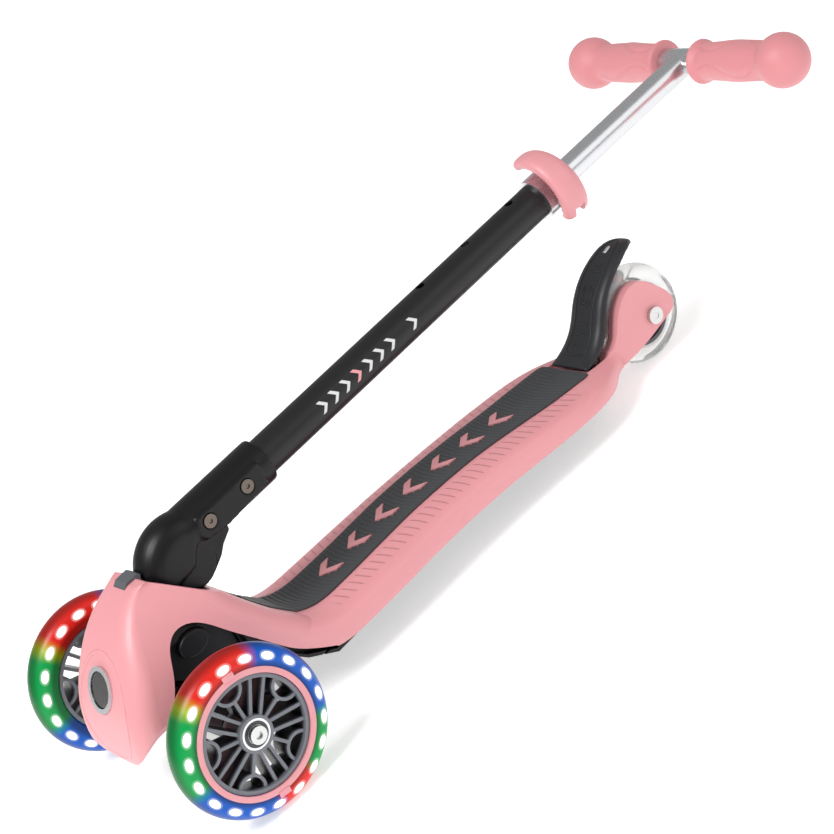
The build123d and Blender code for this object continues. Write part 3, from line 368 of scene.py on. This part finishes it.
def lit_tyre(name, centre):
    """Clear tyre lit by coloured diodes: sectors of colour with a bright spot at each lamp."""
    material, nodes, links, shader = blank(name)
    polar = place_group(nodes, POLAR, Centre=tuple(centre))
    ramp = nodes.new("ShaderNodeValToRGB")
    ramp.color_ramp.interpolation = "LINEAR"
    green = (0.0, 0.36, 0.075, 1)
    blue = (0.0, 0.105, 0.55, 1)
    red = (0.78, 0.02, 0.013, 1)
    lime = (0.42, 0.52, 0.0, 1)
    stops = [(0.0, green), (0.135, green), (0.158, lime), (0.185, red), (0.315, red), (0.345, blue),
             (0.55, blue), (0.575, green), (0.675, green), (0.70, red), (0.765, red), (0.795, blue),
             (0.965, blue), (0.992, green)]
    elements = ramp.color_ramp.elements
    elements[0].position, elements[0].color = stops[0]
    elements[1].position, elements[1].color = stops[-1]
    for position, colour in stops[1:-1]:
        elements.new(position).color = colour
    links.new(polar.outputs["Turn"], ramp.inputs[0])
    cell = add_math(nodes, links, "MULTIPLY", polar.outputs["Turn"], float(LAMPS))
    beside = add_math(nodes, links, "SUBTRACT", add_math(nodes, links, "FRACT", add_math(
        nodes, links, "ADD", cell, 0.5)), 0.5)
    u = add_math(nodes, links, "MULTIPLY", beside, 2.0 * pi * LAMP_R / LAMPS / HALO_HALF_LONG)
    out = add_math(nodes, links, "SUBTRACT", polar.outputs["Distance"], LAMP_R)
    v = add_math(nodes, links, "MULTIPLY", out, 1.0 / HALO_HALF_HIGH)
    u4 = add_math(nodes, links, "POWER", add_math(nodes, links, "ABSOLUTE", u), 2.6)
    v4 = add_math(nodes, links, "POWER", add_math(nodes, links, "ABSOLUTE", v), 2.0)
    far = add_math(nodes, links, "ADD", u4, v4)
    halo = add_math(nodes, links, "MULTIPLY", add_math(nodes, links, "SUBTRACT", 1.25, far, clamp=True), 0.62,
                    clamp=True)
    dim = nodes.new("ShaderNodeMapRange")
    dim.interpolation_type = "SMOOTHSTEP"
    links.new(add_math(nodes, links, "ABSOLUTE", add_math(
        nodes, links, "SUBTRACT", polar.outputs["Distance"], LAMP_R + 0.5 * MM)), dim.inputs["Value"])
    dim.inputs["From Min"].default_value = 0.0025
    dim.inputs["From Max"].default_value = 0.0075
    dim.inputs["To Min"].default_value = 1.0
    dim.inputs["To Max"].default_value = 0.36
    deep = nodes.new("ShaderNodeHueSaturation")
    links.new(ramp.outputs[0], deep.inputs["Color"])
    links.new(dim.outputs[0], deep.inputs["Value"])
    faint = nodes.new("ShaderNodeHueSaturation")
    faint.inputs["Value"].default_value = 0.42
    links.new(deep.outputs[0], faint.inputs["Color"])
    glow = add_mix(nodes, links, halo, faint.outputs[0], (0.95, 0.95, 0.88, 1))
    soft = nodes.new("ShaderNodeHueSaturation")
    soft.inputs["Value"].default_value = 0.62
    links.new(deep.outputs[0], soft.inputs["Color"])
    links.new(soft.outputs[0], shader.inputs["Base Color"])
    links.new(glow, shader.inputs["Emission Color"])
    shader.inputs["Emission Strength"].default_value = 0.85
    shader.inputs["Roughness"].default_value = 0.3
    shader.inputs["Specular IOR Level"].default_value = 0.3
    grain = place_group(nodes, GRAIN, Grain_Size=500.0)
    bump(nodes, links, grain.outputs["Height"], 0.00001, shader)
    return material


def lamp_glow():
    material, nodes, links, shader = blank("lamp_glow")
    grain = place_group(nodes, GRAIN, Colour=(0.95, 0.95, 0.93, 1), Grain_Size=300.0, Roughness=0.3)
    links.new(grain.outputs["Colour"], shader.inputs["Base Color"])
    links.new(grain.outputs["Colour"], shader.inputs["Emission Color"])
    shader.inputs["Emission Strength"].default_value = 0.9
    return material


def clear_tyre():
    material, nodes, links, shader = blank("clear_urethane")
    grain = place_group(nodes, GRAIN, Colour=(0.86, 0.88, 0.87, 1), Grain_Size=400.0, Roughness=0.12)
    links.new(grain.outputs["Colour"], shader.inputs["Base Color"])
    links.new(grain.outputs["Roughness"], shader.inputs["Roughness"])
    bump(nodes, links, grain.outputs["Height"], 0.00001, shader)
    shader.inputs["Transmission Weight"].default_value = 0.85
    shader.inputs["IOR"].default_value = 1.45
    return material


# ---------------------------------------------------------------- mesh helpers
def finish_piece(name, bm, material, body, stands_for=(), smooth=True, sharp=40.0):
    """Turn a bmesh into an object that rides on a body and stands for CAD nodes."""
    mesh = bpy.data.meshes.new(name)
    bm.to_mesh(mesh)
    bm.free()
    piece = bpy.data.objects.new(name, mesh)
    bpy.context.scene.collection.objects.link(piece)
    mesh.materials.append(material)
    if smooth:
        mesh.shade_smooth()
        if sharp:
            mesh.set_sharp_from_angle(angle=radians(sharp))
    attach(piece, body)
    if stands_for:
        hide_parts(*stands_for)
    return piece


def lathe(points, centre, steps=96):
    """Turn an open outline of (along y, radius) in metres about the Y axis through centre."""
    bm = bmesh.new()
    verts = [bm.verts.new((centre.x + r, centre.y + a, centre.z)) for a, r in points]
    edges = [bm.edges.new(pair) for pair in zip(verts, verts[1:])]
    bmesh.ops.spin(bm, geom=verts + edges, cent=centre, axis=(0, 1, 0), angle=2 * pi, steps=steps,
                   use_merge=True, use_duplicate=False)
    bmesh.ops.remove_doubles(bm, verts=bm.verts, dist=1e-6)
    bmesh.ops.recalc_face_normals(bm, faces=bm.faces)
    return bm


def copy_of(node):
    """A merged copy of a CAD node's mesh."""
    bm = bmesh.new()
    bm.from_mesh(NODES[node].data)
    bmesh.ops.remove_doubles(bm, verts=bm.verts, dist=2e-6)
    return bm


def melted(node, voxel, rounds, factor=0.5):
    """A copy of a CAD node remeshed to even quads and smoothed, as a hand-sanded pattern would be."""
    bm = copy_of(node)
    mesh = bpy.data.meshes.new("pattern")
    bm.to_mesh(mesh)
    bm.free()
    holder = bpy.data.objects.new("pattern", mesh)
    bpy.context.scene.collection.objects.link(holder)
    remesh = holder.modifiers.new("even", "REMESH")
    remesh.mode = "VOXEL"
    remesh.voxel_size = voxel
    remesh.adaptivity = 0.0
    result = bpy.data.meshes.new_from_object(holder.evaluated_get(bpy.context.evaluated_depsgraph_get()))
    bm = bmesh.new()
    bm.from_mesh(result)
    bpy.data.objects.remove(holder)
    for index in range(rounds):
        bmesh.ops.smooth_vert(bm, verts=bm.verts, factor=factor, use_axis_x=True, use_axis_y=True,
                              use_axis_z=True)
    return bm


def eased(node, width, angle=35.0, segments=2):
    """A copy of a CAD node with its sharp edges eased."""
    bm = copy_of(node)
    bmesh.ops.dissolve_limit(bm, angle_limit=radians(1.0), verts=bm.verts, edges=bm.edges)
    sharp = [e for e in bm.edges if len(e.link_faces) == 2 and e.calc_face_angle(0.0) > radians(angle)]
    bmesh.ops.bevel(bm, geom=sharp, offset=width, segments=segments, profile=0.5, affect="EDGES",
                    offset_type="OFFSET", clamp_overlap=True, material=-1)
    return bm


def surface_of(*names):
    """A tree of CAD surfaces to drop points on."""
    bm = bmesh.new()
    for name in names:
        bm.from_mesh(NODES[name].data)
    tree = BVHTree.FromBMesh(bm)
    bm.free()
    return tree


def drop(tree, x, y, above=0.2):
    """Height of the surface under a point, or None."""
    hit = tree.ray_cast(Vector((x, y, above)), Vector((0, 0, -1)))
    return hit[0].z if hit[0] else None


def sweep_rings(rings, closed=False):
    """Skin a list of equal rings of points; open sweeps get end caps."""
    bm = bmesh.new()
    loops = [[bm.verts.new(point) for point in ring] for ring in rings]
    pairs = list(zip(loops, loops[1:])) + ([(loops[-1], loops[0])] if closed else [])
    for first, second in pairs:
        count = len(first)
        for index in range(count):
            after = (index + 1) % count
            bm.faces.new((first[index], first[after], second[after], second[index]))
    if not closed:
        bm.faces.new(list(reversed(loops[0])))
        bm.faces.new(loops[-1])
    bmesh.ops.recalc_face_normals(bm, faces=bm.faces)
    return bm


def bead(points, normals, width, height, closed=False, sides=8):
    """A low rounded ridge along points that lie on a surface."""
    rings = []
    count = len(points)
    for index, (point, normal) in enumerate(zip(points, normals)):
        before = points[index - 1] if index or closed else point
        after = points[(index + 1) % count] if index < count - 1 or closed else point
        along = (after - before).normalized()
        across = along.cross(normal).normalized()
        ring = []
        for side in range(sides):
            turn = 2 * pi * side / sides
            ring.append(point + across * (width * cos(turn)) + normal * (height * sin(turn)))
        rings.append(ring)
    return sweep_rings(rings, closed)


def drape(tree, points, direction):
    """Points dropped on a surface along a direction, with the surface's normals."""
    places, normals = [], []
    for point in points:
        hit, normal, index, distance = tree.ray_cast(point - direction * 0.2, direction)
        if hit:
            places.append(hit)
            normals.append(normal if normal.dot(direction) < 0 else -normal)
    return places, normals


def join(parts):
    """Several bmeshes as one."""
    whole = bmesh.new()
    for part in parts:
        mesh = bpy.data.meshes.new("part")
        part.to_mesh(mesh)
        part.free()
        whole.from_mesh(mesh)
        bpy.data.meshes.remove(mesh)
    return whole


def carve(bm, cutters):
    """Cut simple solids out of a mesh."""
    mesh = bpy.data.meshes.new("block")
    bm.to_mesh(mesh)
    bm.free()
    block = bpy.data.objects.new("block", mesh)
    bpy.context.scene.collection.objects.link(block)
    helpers = []
    for cutter in cutters:
        tool_mesh = bpy.data.meshes.new("tool")
        cutter.to_mesh(tool_mesh)
        cutter.free()
        tool = bpy.data.objects.new("tool", tool_mesh)
        bpy.context.scene.collection.objects.link(tool)
        change = block.modifiers.new("cut", "BOOLEAN")
        change.operation = "DIFFERENCE"
        change.solver = "EXACT"
        change.object = tool
        helpers.append(tool)
    graph = bpy.context.evaluated_depsgraph_get()
    result = bpy.data.meshes.new_from_object(block.evaluated_get(graph))
    for helper in helpers + [block]:
        bpy.data.objects.remove(helper)
    out = bmesh.new()
    out.from_mesh(result)
    return out


# ---------------------------------------------------------------- materials on the CAD nodes
for entry in frame["record"]["subparts"]:
    node = NODES[entry["node"]]
    if entry["material_slot"] in FINISH:
        node.data.materials.clear()
        node.data.materials.append(FINISH[entry["material_slot"]])
NODES["elbow_bolts"].data.materials.clear()
NODES["elbow_bolts"].data.materials.append(DARK_SCREW)


# ---------------------------------------------------------------- wheels
def tyre_outline(radius, half, inner, shoulder, count=14):
    right = [(half * 0.84, inner), (half, inner + 1.6 * MM), (half, shoulder)]
    for i in range(1, count + 1):
        a = 0.5 * pi * i / count
        right.append((half * 0.99 * cos(a), shoulder + (radius - shoulder) * sin(a)))
    left = [(-y, r) for y, r in reversed(right[:-1])]
    return right + left + [right[0]]


for name in SIDES:
    centre = joint_place("front_%s_spin" % name)
    body = "front_wheel_" + name
    glow = lit_tyre("lit_tyre_" + name, centre)
    bm = lathe(tyre_outline(TYRE_R, TYRE_HALF, 41.6 * MM, 50.5 * MM), centre, 128)
    finish_piece("tyre_" + name, bm, glow, body, ["front_tyre_" + name])
    bm = bmesh.new()
    for face in (1.0, -1.0):
        for index in range(LAMPS):
            turn = 2 * pi * index / LAMPS
            window = bmesh.ops.create_uvsphere(bm, u_segments=16, v_segments=8, radius=1.0)
            shape = Matrix.Diagonal(LAMP_SIZE)
            lean = Matrix.Rotation(face * radians(-20.0), 4, "Z")
            out = Matrix.Translation((LAMP_R, face * (TYRE_HALF - 0.95 * MM), 0))
            place = Matrix.Translation(centre) @ Matrix.Rotation(-turn, 4, "Y") @ out @ lean @ shape
            bmesh.ops.transform(bm, matrix=place, verts=window["verts"])
    finish_piece("lamps_" + name, bm, lamp_glow(), body, ["front_lamps_" + name])
    bm = eased("front_hub_" + name, 0.35 * MM)
    finish_piece("hub_" + name, bm, hub_with_painted_shade("hub_plastic_" + name, centre), body,
                 ["front_hub_" + name])
    NODES["front_bearings_" + name].data.materials[0] = bearing_face("bearing_" + name, centre)
    bm = eased("front_ring_" + name, 0.25 * MM)
    finish_piece("ring_" + name, bm, FINISH["pink_shell"], body, ["front_ring_" + name])

CLEAR = clear_tyre()
bm = lathe(tyre_outline(40.0 * MM, 11.3 * MM, 25.5 * MM, 33.0 * MM), REAR_AXLE, 96)
finish_piece("tyre_rear", bm, CLEAR, "rear_wheel", ["rear_tyre"])

# ---------------------------------------------------------------- castings and mouldings
bm = melted("elbow", 0.9 * MM, 6)
finish_piece("elbow_casting", bm, FINISH["casting_black"], "stem", ["elbow"], sharp=0)
bm = melted("brake_pedal", 0.9 * MM, 8)
finish_piece("brake_cover", bm, FINISH["brake_plastic"], "brake", ["brake_pedal"], sharp=0)
NODES["deck_shell"].data.materials[0] = grooved_deck()
NODES["deck_shell"].data.shade_smooth()
NODES["deck_shell"].data.set_sharp_from_angle(angle=radians(32.0))


# ---- ribbed mat
MAT_EDGE = [(-76, 21.0), (-80, 22.5), (-88, 24.5), (-104, 26.0), (-130, 26.0), (-180, 25.0), (-290, 25.0),
            (-330, 26.5), (-370, 29.5), (-402, 30.0), (-407, 28.0)]
RIB_PITCH = 3.8
RIB_DEPTH = 0.75
MAT_T = 2.2


def mat_half(x):
    for (x0, w0), (x1, w1) in zip(MAT_EDGE, MAT_EDGE[1:]):
        if x >= x1:
            return w0 + (w1 - w0) * min(1.0, max(0.0, (x0 - x) / (x0 - x1)))
    return MAT_EDGE[-1][1]


def ribbed_mat_mesh():
    tree = surface_of("deck_shell")
    rings = []
    steps = 690
    across = 14
    first, last = MAT_EDGE[0][0] - 0.6, MAT_EDGE[-1][0] + 0.6
    for i in range(steps + 1):
        x = first + (last - first) * i / steps
        half = mat_half(x) - 0.2
        top, low = [], []
        for j in range(across + 1):
            y = half * (2.0 * j / across - 1.0)
            place = row(x, y, 0)
            ground = drop(tree, place.x, place.y)
            phase = (x + 0.0055 * y * y) / RIB_PITCH
            groove = max(0.0, cos(2 * pi * phase)) ** 2
            edge = min(1.0, (half - abs(y)) / 1.2)
            lift = MAT_T - RIB_DEPTH * groove * edge - 0.5 * (1.0 - edge) ** 2
            top.append(Vector((place.x, place.y, ground + lift * MM)))
            low.append(Vector((place.x, place.y, ground + 0.02 * MM)))
        rings.append(top + list(reversed(low)))
    return sweep_rings(rings)


finish_piece("mat_ribs", ribbed_mat_mesh(), ribbed_mat(), "deck", ["deck_mat"], sharp=50)

# ---- raised oval line on the shield
SHELL_TREE = surface_of("deck_shell")
oval = [row(60.0, 33.0 * sin(2 * pi * i / 72), 90.0 + 37.0 * cos(2 * pi * i / 72)) for i in range(72)]
places, normals = drape(SHELL_TREE, oval, Vector((-1, 0, -0.05)).normalized())
finish_piece("shield_oval", bead(places, normals, 1.5 * MM, 0.35 * MM, True), FINISH["pink_shell"], "deck",
             sharp=0)

# ---- brake relief
BRAKE_TREE = surface_of("brake_pedal")
BRAKE_VIEW = Vector((-0.62, 0.0, -0.78)).normalized()
PANEL = [(-421, 12.5), (-432, 12.0), (-445, 9.5), (-460, 10.5), (-474, 11.5), (-488, 10.0), (-499, 7.0),
         (-504, 2.5)]


def brake_line(points, width=0.7 * MM, height=0.45 * MM, closed=False):
    spots, outs = drape(BRAKE_TREE, [row(x, y, 40.0 + 0.62 * (-410.0 - x)) for x, y in points], BRAKE_VIEW)
    return bead(spots, outs, width, height, closed)


def smoothed(points, rounds=3):
    """Corner cutting of a closed outline."""
    for index in range(rounds):
        pairs = list(zip(points, points[1:] + points[:1]))
        points = [q for (ax, ay), (bx, by) in pairs
                  for q in ((0.75 * ax + 0.25 * bx, 0.75 * ay + 0.25 * by),
                            (0.25 * ax + 0.75 * bx, 0.25 * ay + 0.75 * by))]
    return points


panel = smoothed(PANEL + [(x, -y) for x, y in reversed(PANEL)])
relief = [brake_line(panel, closed=True)]
for x in (-429.0, -436.0, -443.0):
    relief.append(brake_line([(x + 0.03 * y * y, y) for y in (-5.5, -3.5, -1.5, 0.5, 2.5, 4.5, 5.5)]))
for radius in (6.4, 4.2):
    relief.append(brake_line([(-461.0 + radius * 1.15 * cos(2 * pi * i / 32), radius * sin(2 * pi * i / 32))
                              for i in range(32)], closed=True))
for x in (-478.0, -482.5):
    relief.append(brake_line([(x - 0.03 * y * y, y) for y in (-5.0, -3.0, -1.0, 1.0, 3.0, 5.0)], 0.6 * MM))
finish_piece("brake_relief", join(relief), FINISH["brake_plastic"], "brake", sharp=0)
badge = brake_line([(-495.0 + t, 0.0) for t in (-2.6, -1.3, 0.0, 1.3, 2.6)], 2.0 * MM, 0.7 * MM)
finish_piece("brake_badge", badge, FINISH["chrome_steel"], "brake", sharp=0)

# ---- grips
GRIP_LINE = [(20.5, 12.0), (20.5, 15.6), (21.2, 17.0), (22.6, 17.6), (24.2, 17.2), (25.8, 15.6), (28, 14.7),
             (34, 14.6), (44, 15.2), (54, 15.6), (66, 15.8), (78, 15.5), (88, 14.9), (93, 14.7)]
BALL_AT = 111.7
BALL_R = 21.2


def grip_mesh(side):
    centre = Vector((NODE_BAR.x, 0.0, NODE_BAR.z))
    fine = []
    for (a0, r0), (a1, r1) in zip(GRIP_LINE[6:], GRIP_LINE[7:]):
        fine += [(a0 + (a1 - a0) * t / 5, r0 + (r1 - r0) * t / 5) for t in range(5)]
    outline = GRIP_LINE[:6] + fine + [GRIP_LINE[-1]]
    start = pi - 0.78
    outline += [(BALL_AT + BALL_R * cos(start * (1 - t / 26)), BALL_R * sin(start * (1 - t / 26)))
                for t in range(27)]
    rings = []
    turns = 112
    for a, r in outline:
        ring = []
        for step in range(turns):
            turn = 2 * pi * step / turns
            share = min(1.0, max(0.0, (a - 26.0) / 66.0))
            cut = 0.0
            if 26.0 < a < 93.0:
                for lane in range(4):
                    middle = lane * pi / 2 + 0.42 * sin(2 * pi * share + lane * pi)
                    off = (turn - middle + pi) % (2 * pi) - pi
                    cut += 0.95 * exp(-(off / 0.07) ** 2)
                    cut -= 0.6 * exp(-((off - 0.45) / 0.35) ** 2)
            radius = max(0.02, r - cut * (1.0 if 30.0 < a < 90.0 else 0.4)) * MM
            ring.append(centre + Vector((radius * cos(turn), side * a * MM, radius * sin(turn))))
        rings.append(ring)
    return sweep_rings(rings)


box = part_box("crossbar")
NODE_BAR = (Vector(box[0]) + Vector(box[1])) / 2
for name, sign in SIDES.items():
    finish_piece("grip_cover_" + name, grip_mesh(sign), FINISH["grip_rubber"], "handlebar",
                 ["grip_" + name], sharp=0)

BODIES = frame["record"]["behaviour"]["bodies"]
LEVER_PIN_BODY = next(body for body, nodes in BODIES.items() if "lever_pin" in nodes)

# ---- clamp lever: a fat crescent, forked round the collar's ear
PIN_AT = joint_place("clamp_lever")
BAR_AXIS = joint_axis("clamp_lever")
if BAR_AXIS.dot(BAR_DIR) < 0:
    BAR_AXIS = -BAR_AXIS
NEAR = Vector((0, 1, 0))
ABOVE = BAR_AXIS.cross(NEAR)
if ABOVE.z < 0:
    ABOVE = -ABOVE
pin_turn = radians(-28.0)
CLAMP_AT = PIN_AT - (NEAR * cos(pin_turn) + ABOVE * sin(pin_turn)) * 25.0 * MM


def clamp_point(radius, turn, along):
    """A point about the bar at the clamp, in mm and radians."""
    return CLAMP_AT + (NEAR * cos(turn) + ABOVE * sin(turn)) * radius * MM + BAR_AXIS * along * MM


def lever_mesh():
    low, high = radians(-42.0), radians(124.0)
    rings = []
    steps = 96
    sides = 40
    for i in range(steps + 1):
        t = i / steps
        turn = low + (high - low) * t
        cap = min(1.0, sqrt(max(0.0, 1.0 - max(0.0, 1.0 - t / 0.055) ** 2)) + 0.02,
                  sqrt(max(0.0, 1.0 - max(0.0, 1.0 - (1.0 - t) / 0.07) ** 2)) + 0.02)
        thick = (5.9 - 1.6 * t + 0.4 * sin(pi * t)) * cap
        wide = (12.2 - 5.0 * t ** 1.2 + 1.0 * sin(pi * t)) * (0.35 + 0.65 * cap)
        middle = 27.8 + 1.0 * sin(pi * t) + 0.8 * t
        ring = []
        for k in range(sides):
            a = 2 * pi * k / sides
            c, d = cos(a), sin(a)
            du = wide * abs(c) ** 0.75 * (1 if c > 0 else -1)
            dr = thick * abs(d) ** 0.8 * (1 if d > 0 else -1)
            if d > 0.3 and 0.25 < t < 0.8:
                dr -= 0.28 * max(0.0, sin(t * 92.0 + 1.8 * c)) * (d - 0.3)
            ring.append(clamp_point(middle + dr, turn, du))
        rings.append(ring)
    return sweep_rings(rings)


def axis_matrix(place):
    """A frame at a point whose Z runs up the bar."""
    return Matrix.Translation(place) @ Matrix((NEAR, BAR_AXIS.cross(NEAR), BAR_AXIS)).transposed().to_4x4()


slot = bmesh.new()
bmesh.ops.create_cone(slot, cap_ends=True, segments=48, radius1=9.4 * MM, radius2=9.4 * MM, depth=10.0 * MM,
                      matrix=axis_matrix(PIN_AT))
hole = bmesh.new()
bmesh.ops.create_cone(hole, cap_ends=True, segments=24, radius1=2.1 * MM, radius2=2.1 * MM, depth=60.0 * MM,
                      matrix=axis_matrix(PIN_AT))
finish_piece("lever_crescent", carve(lever_mesh(), [slot, hole]), FINISH["pink_shell"], "clamp_lever",
             ["clamp_lever"], sharp=45)
pin = bmesh.new()
bmesh.ops.create_cone(pin, cap_ends=True, segments=32, radius1=1.9 * MM, radius2=1.9 * MM, depth=22.0 * MM,
                      matrix=axis_matrix(PIN_AT))
finish_piece("lever_pivot", pin, FINISH["chrome_steel"], LEVER_PIN_BODY, ["lever_pin"])

# ---- plain marks along the tube
TUBE_R = 14.27 * MM
CLAMP_X_MM = -467.0
MARK_TURN = radians(12.0)


def tube_mark(x, points):
    """A flat outline in mm (along, round) wrapped on the tube's near face at a given place."""
    bm = bmesh.new()
    spot = CLAMP_AT + BAR_DIR * ((CLAMP_X_MM - x) * MM)
    rows = []
    for (u0, v0), (u1, v1) in points:
        line = []
        for k in range(7):
            v = v0 + (v1 - v0) * k / 6
            u = u0 + (u1 - u0) * k / 6
            turn = MARK_TURN + v * MM / TUBE_R
            out = (NEAR * cos(turn) + ABOVE * sin(turn)) * TUBE_R
            line.append(bm.verts.new(spot + BAR_DIR * (u * MM) + out))
        rows.append(line)
    for first, second in zip(rows, rows[1:]):
        for k in range(6):
            bm.faces.new((first[k], first[k + 1], second[k + 1], second[k]))
    bmesh.ops.recalc_face_normals(bm, faces=bm.faces)
    return bm


def mark_pair(x):
    lower = tube_mark(x, [((0.0, -5.0), (4.5, 0.0)), ((3.2, -5.0), (7.7, 0.0))])
    upper = tube_mark(x, [((4.5, 0.0), (0.0, 5.0)), ((7.7, 0.0), (3.2, 5.0))])
    return [lower, upper]


white = []
for index, x in enumerate((-205.0, -217.0, -229.0, -253.0, -265.0, -277.0, -301.0)):
    white += mark_pair(x)
finish_piece("tube_marks", join(white), WHITE_PRINT, "stem", sharp=0)
finish_piece("tube_mark_pink", join(mark_pair(-241.0)), FINISH["pink_shell"], "stem", sharp=0)


# ---------------------------------------------------------------- floor, light and camera
SKY_STRENGTH = 0.40
FLOOR_GLOW = 0.52


def soft_floor():
    bm = bmesh.new()
    bmesh.ops.create_grid(bm, x_segments=1, y_segments=1, size=6.0)
    mesh = bpy.data.meshes.new("floor")
    bm.to_mesh(mesh)
    bm.free()
    floor = bpy.data.objects.new("floor", mesh)
    bpy.context.scene.collection.objects.link(floor)
    pale = moulded("pale_floor", (0.90, 0.90, 0.90), 0.8, grain=40.0, depth=0.0, drift=0.01, specular=0.2)
    shader = pale.node_tree.nodes["Principled BSDF"]
    shader.inputs["Emission Color"].default_value = (1.0, 1.0, 1.0, 1.0)
    shader.inputs["Emission Strength"].default_value = FLOOR_GLOW
    mesh.materials.append(pale)


def area_light(name, place, target, size, power):
    data = bpy.data.lights.new(name, "AREA")
    data.size = size
    data.energy = power
    light = bpy.data.objects.new(name, data)
    bpy.context.scene.collection.objects.link(light)
    light.location = place
    light.rotation_euler = (Vector(target) - Vector(place)).to_track_quat("-Z", "Y").to_euler()


soft_floor()
world = bpy.data.worlds.new("studio")
world.use_nodes = True
world.node_tree.nodes["Background"].inputs[0].default_value = (1.0, 1.0, 1.0, 1.0)
world.node_tree.nodes["Background"].inputs[1].default_value = SKY_STRENGTH
bpy.context.scene.world = world
area_light("key", (1.4, 0.4, 2.2), (0.1, 0, 0.1), 1.1, 46.0)
area_light("fill", (-1.2, 1.8, 1.4), (0.0, 0, 0.1), 1.6, 8.0)
bpy.context.scene.view_settings.view_transform = "Standard"

CAMERA_LENS_MM = 102.81
CAMERA_AT = Vector((0.73147, 1.43315, 0.84880))
CAMERA_TURN = radians(153.6605)
CAMERA_RISE = radians(25.1271)
CAMERA_ROLL = radians(-29.7433)
back = Vector((sin(CAMERA_TURN) * cos(CAMERA_RISE), -cos(CAMERA_TURN) * cos(CAMERA_RISE), sin(CAMERA_RISE)))
level = Vector((0, 0, 1)).cross(back).normalized()
lift = back.cross(level)
right = level * cos(CAMERA_ROLL) + lift * sin(CAMERA_ROLL)
up = lift * cos(CAMERA_ROLL) - level * sin(CAMERA_ROLL)
lens = bpy.data.cameras.new("camera")
lens.sensor_width = 36.0
lens.lens = CAMERA_LENS_MM
lens.clip_end = 50.0
camera = bpy.data.objects.new("camera", lens)
bpy.context.scene.collection.objects.link(camera)
turn = Matrix((right, up, back)).transposed().to_4x4()
camera.matrix_world = Matrix.Translation(CAMERA_AT) @ turn
bpy.context.scene.camera = camera
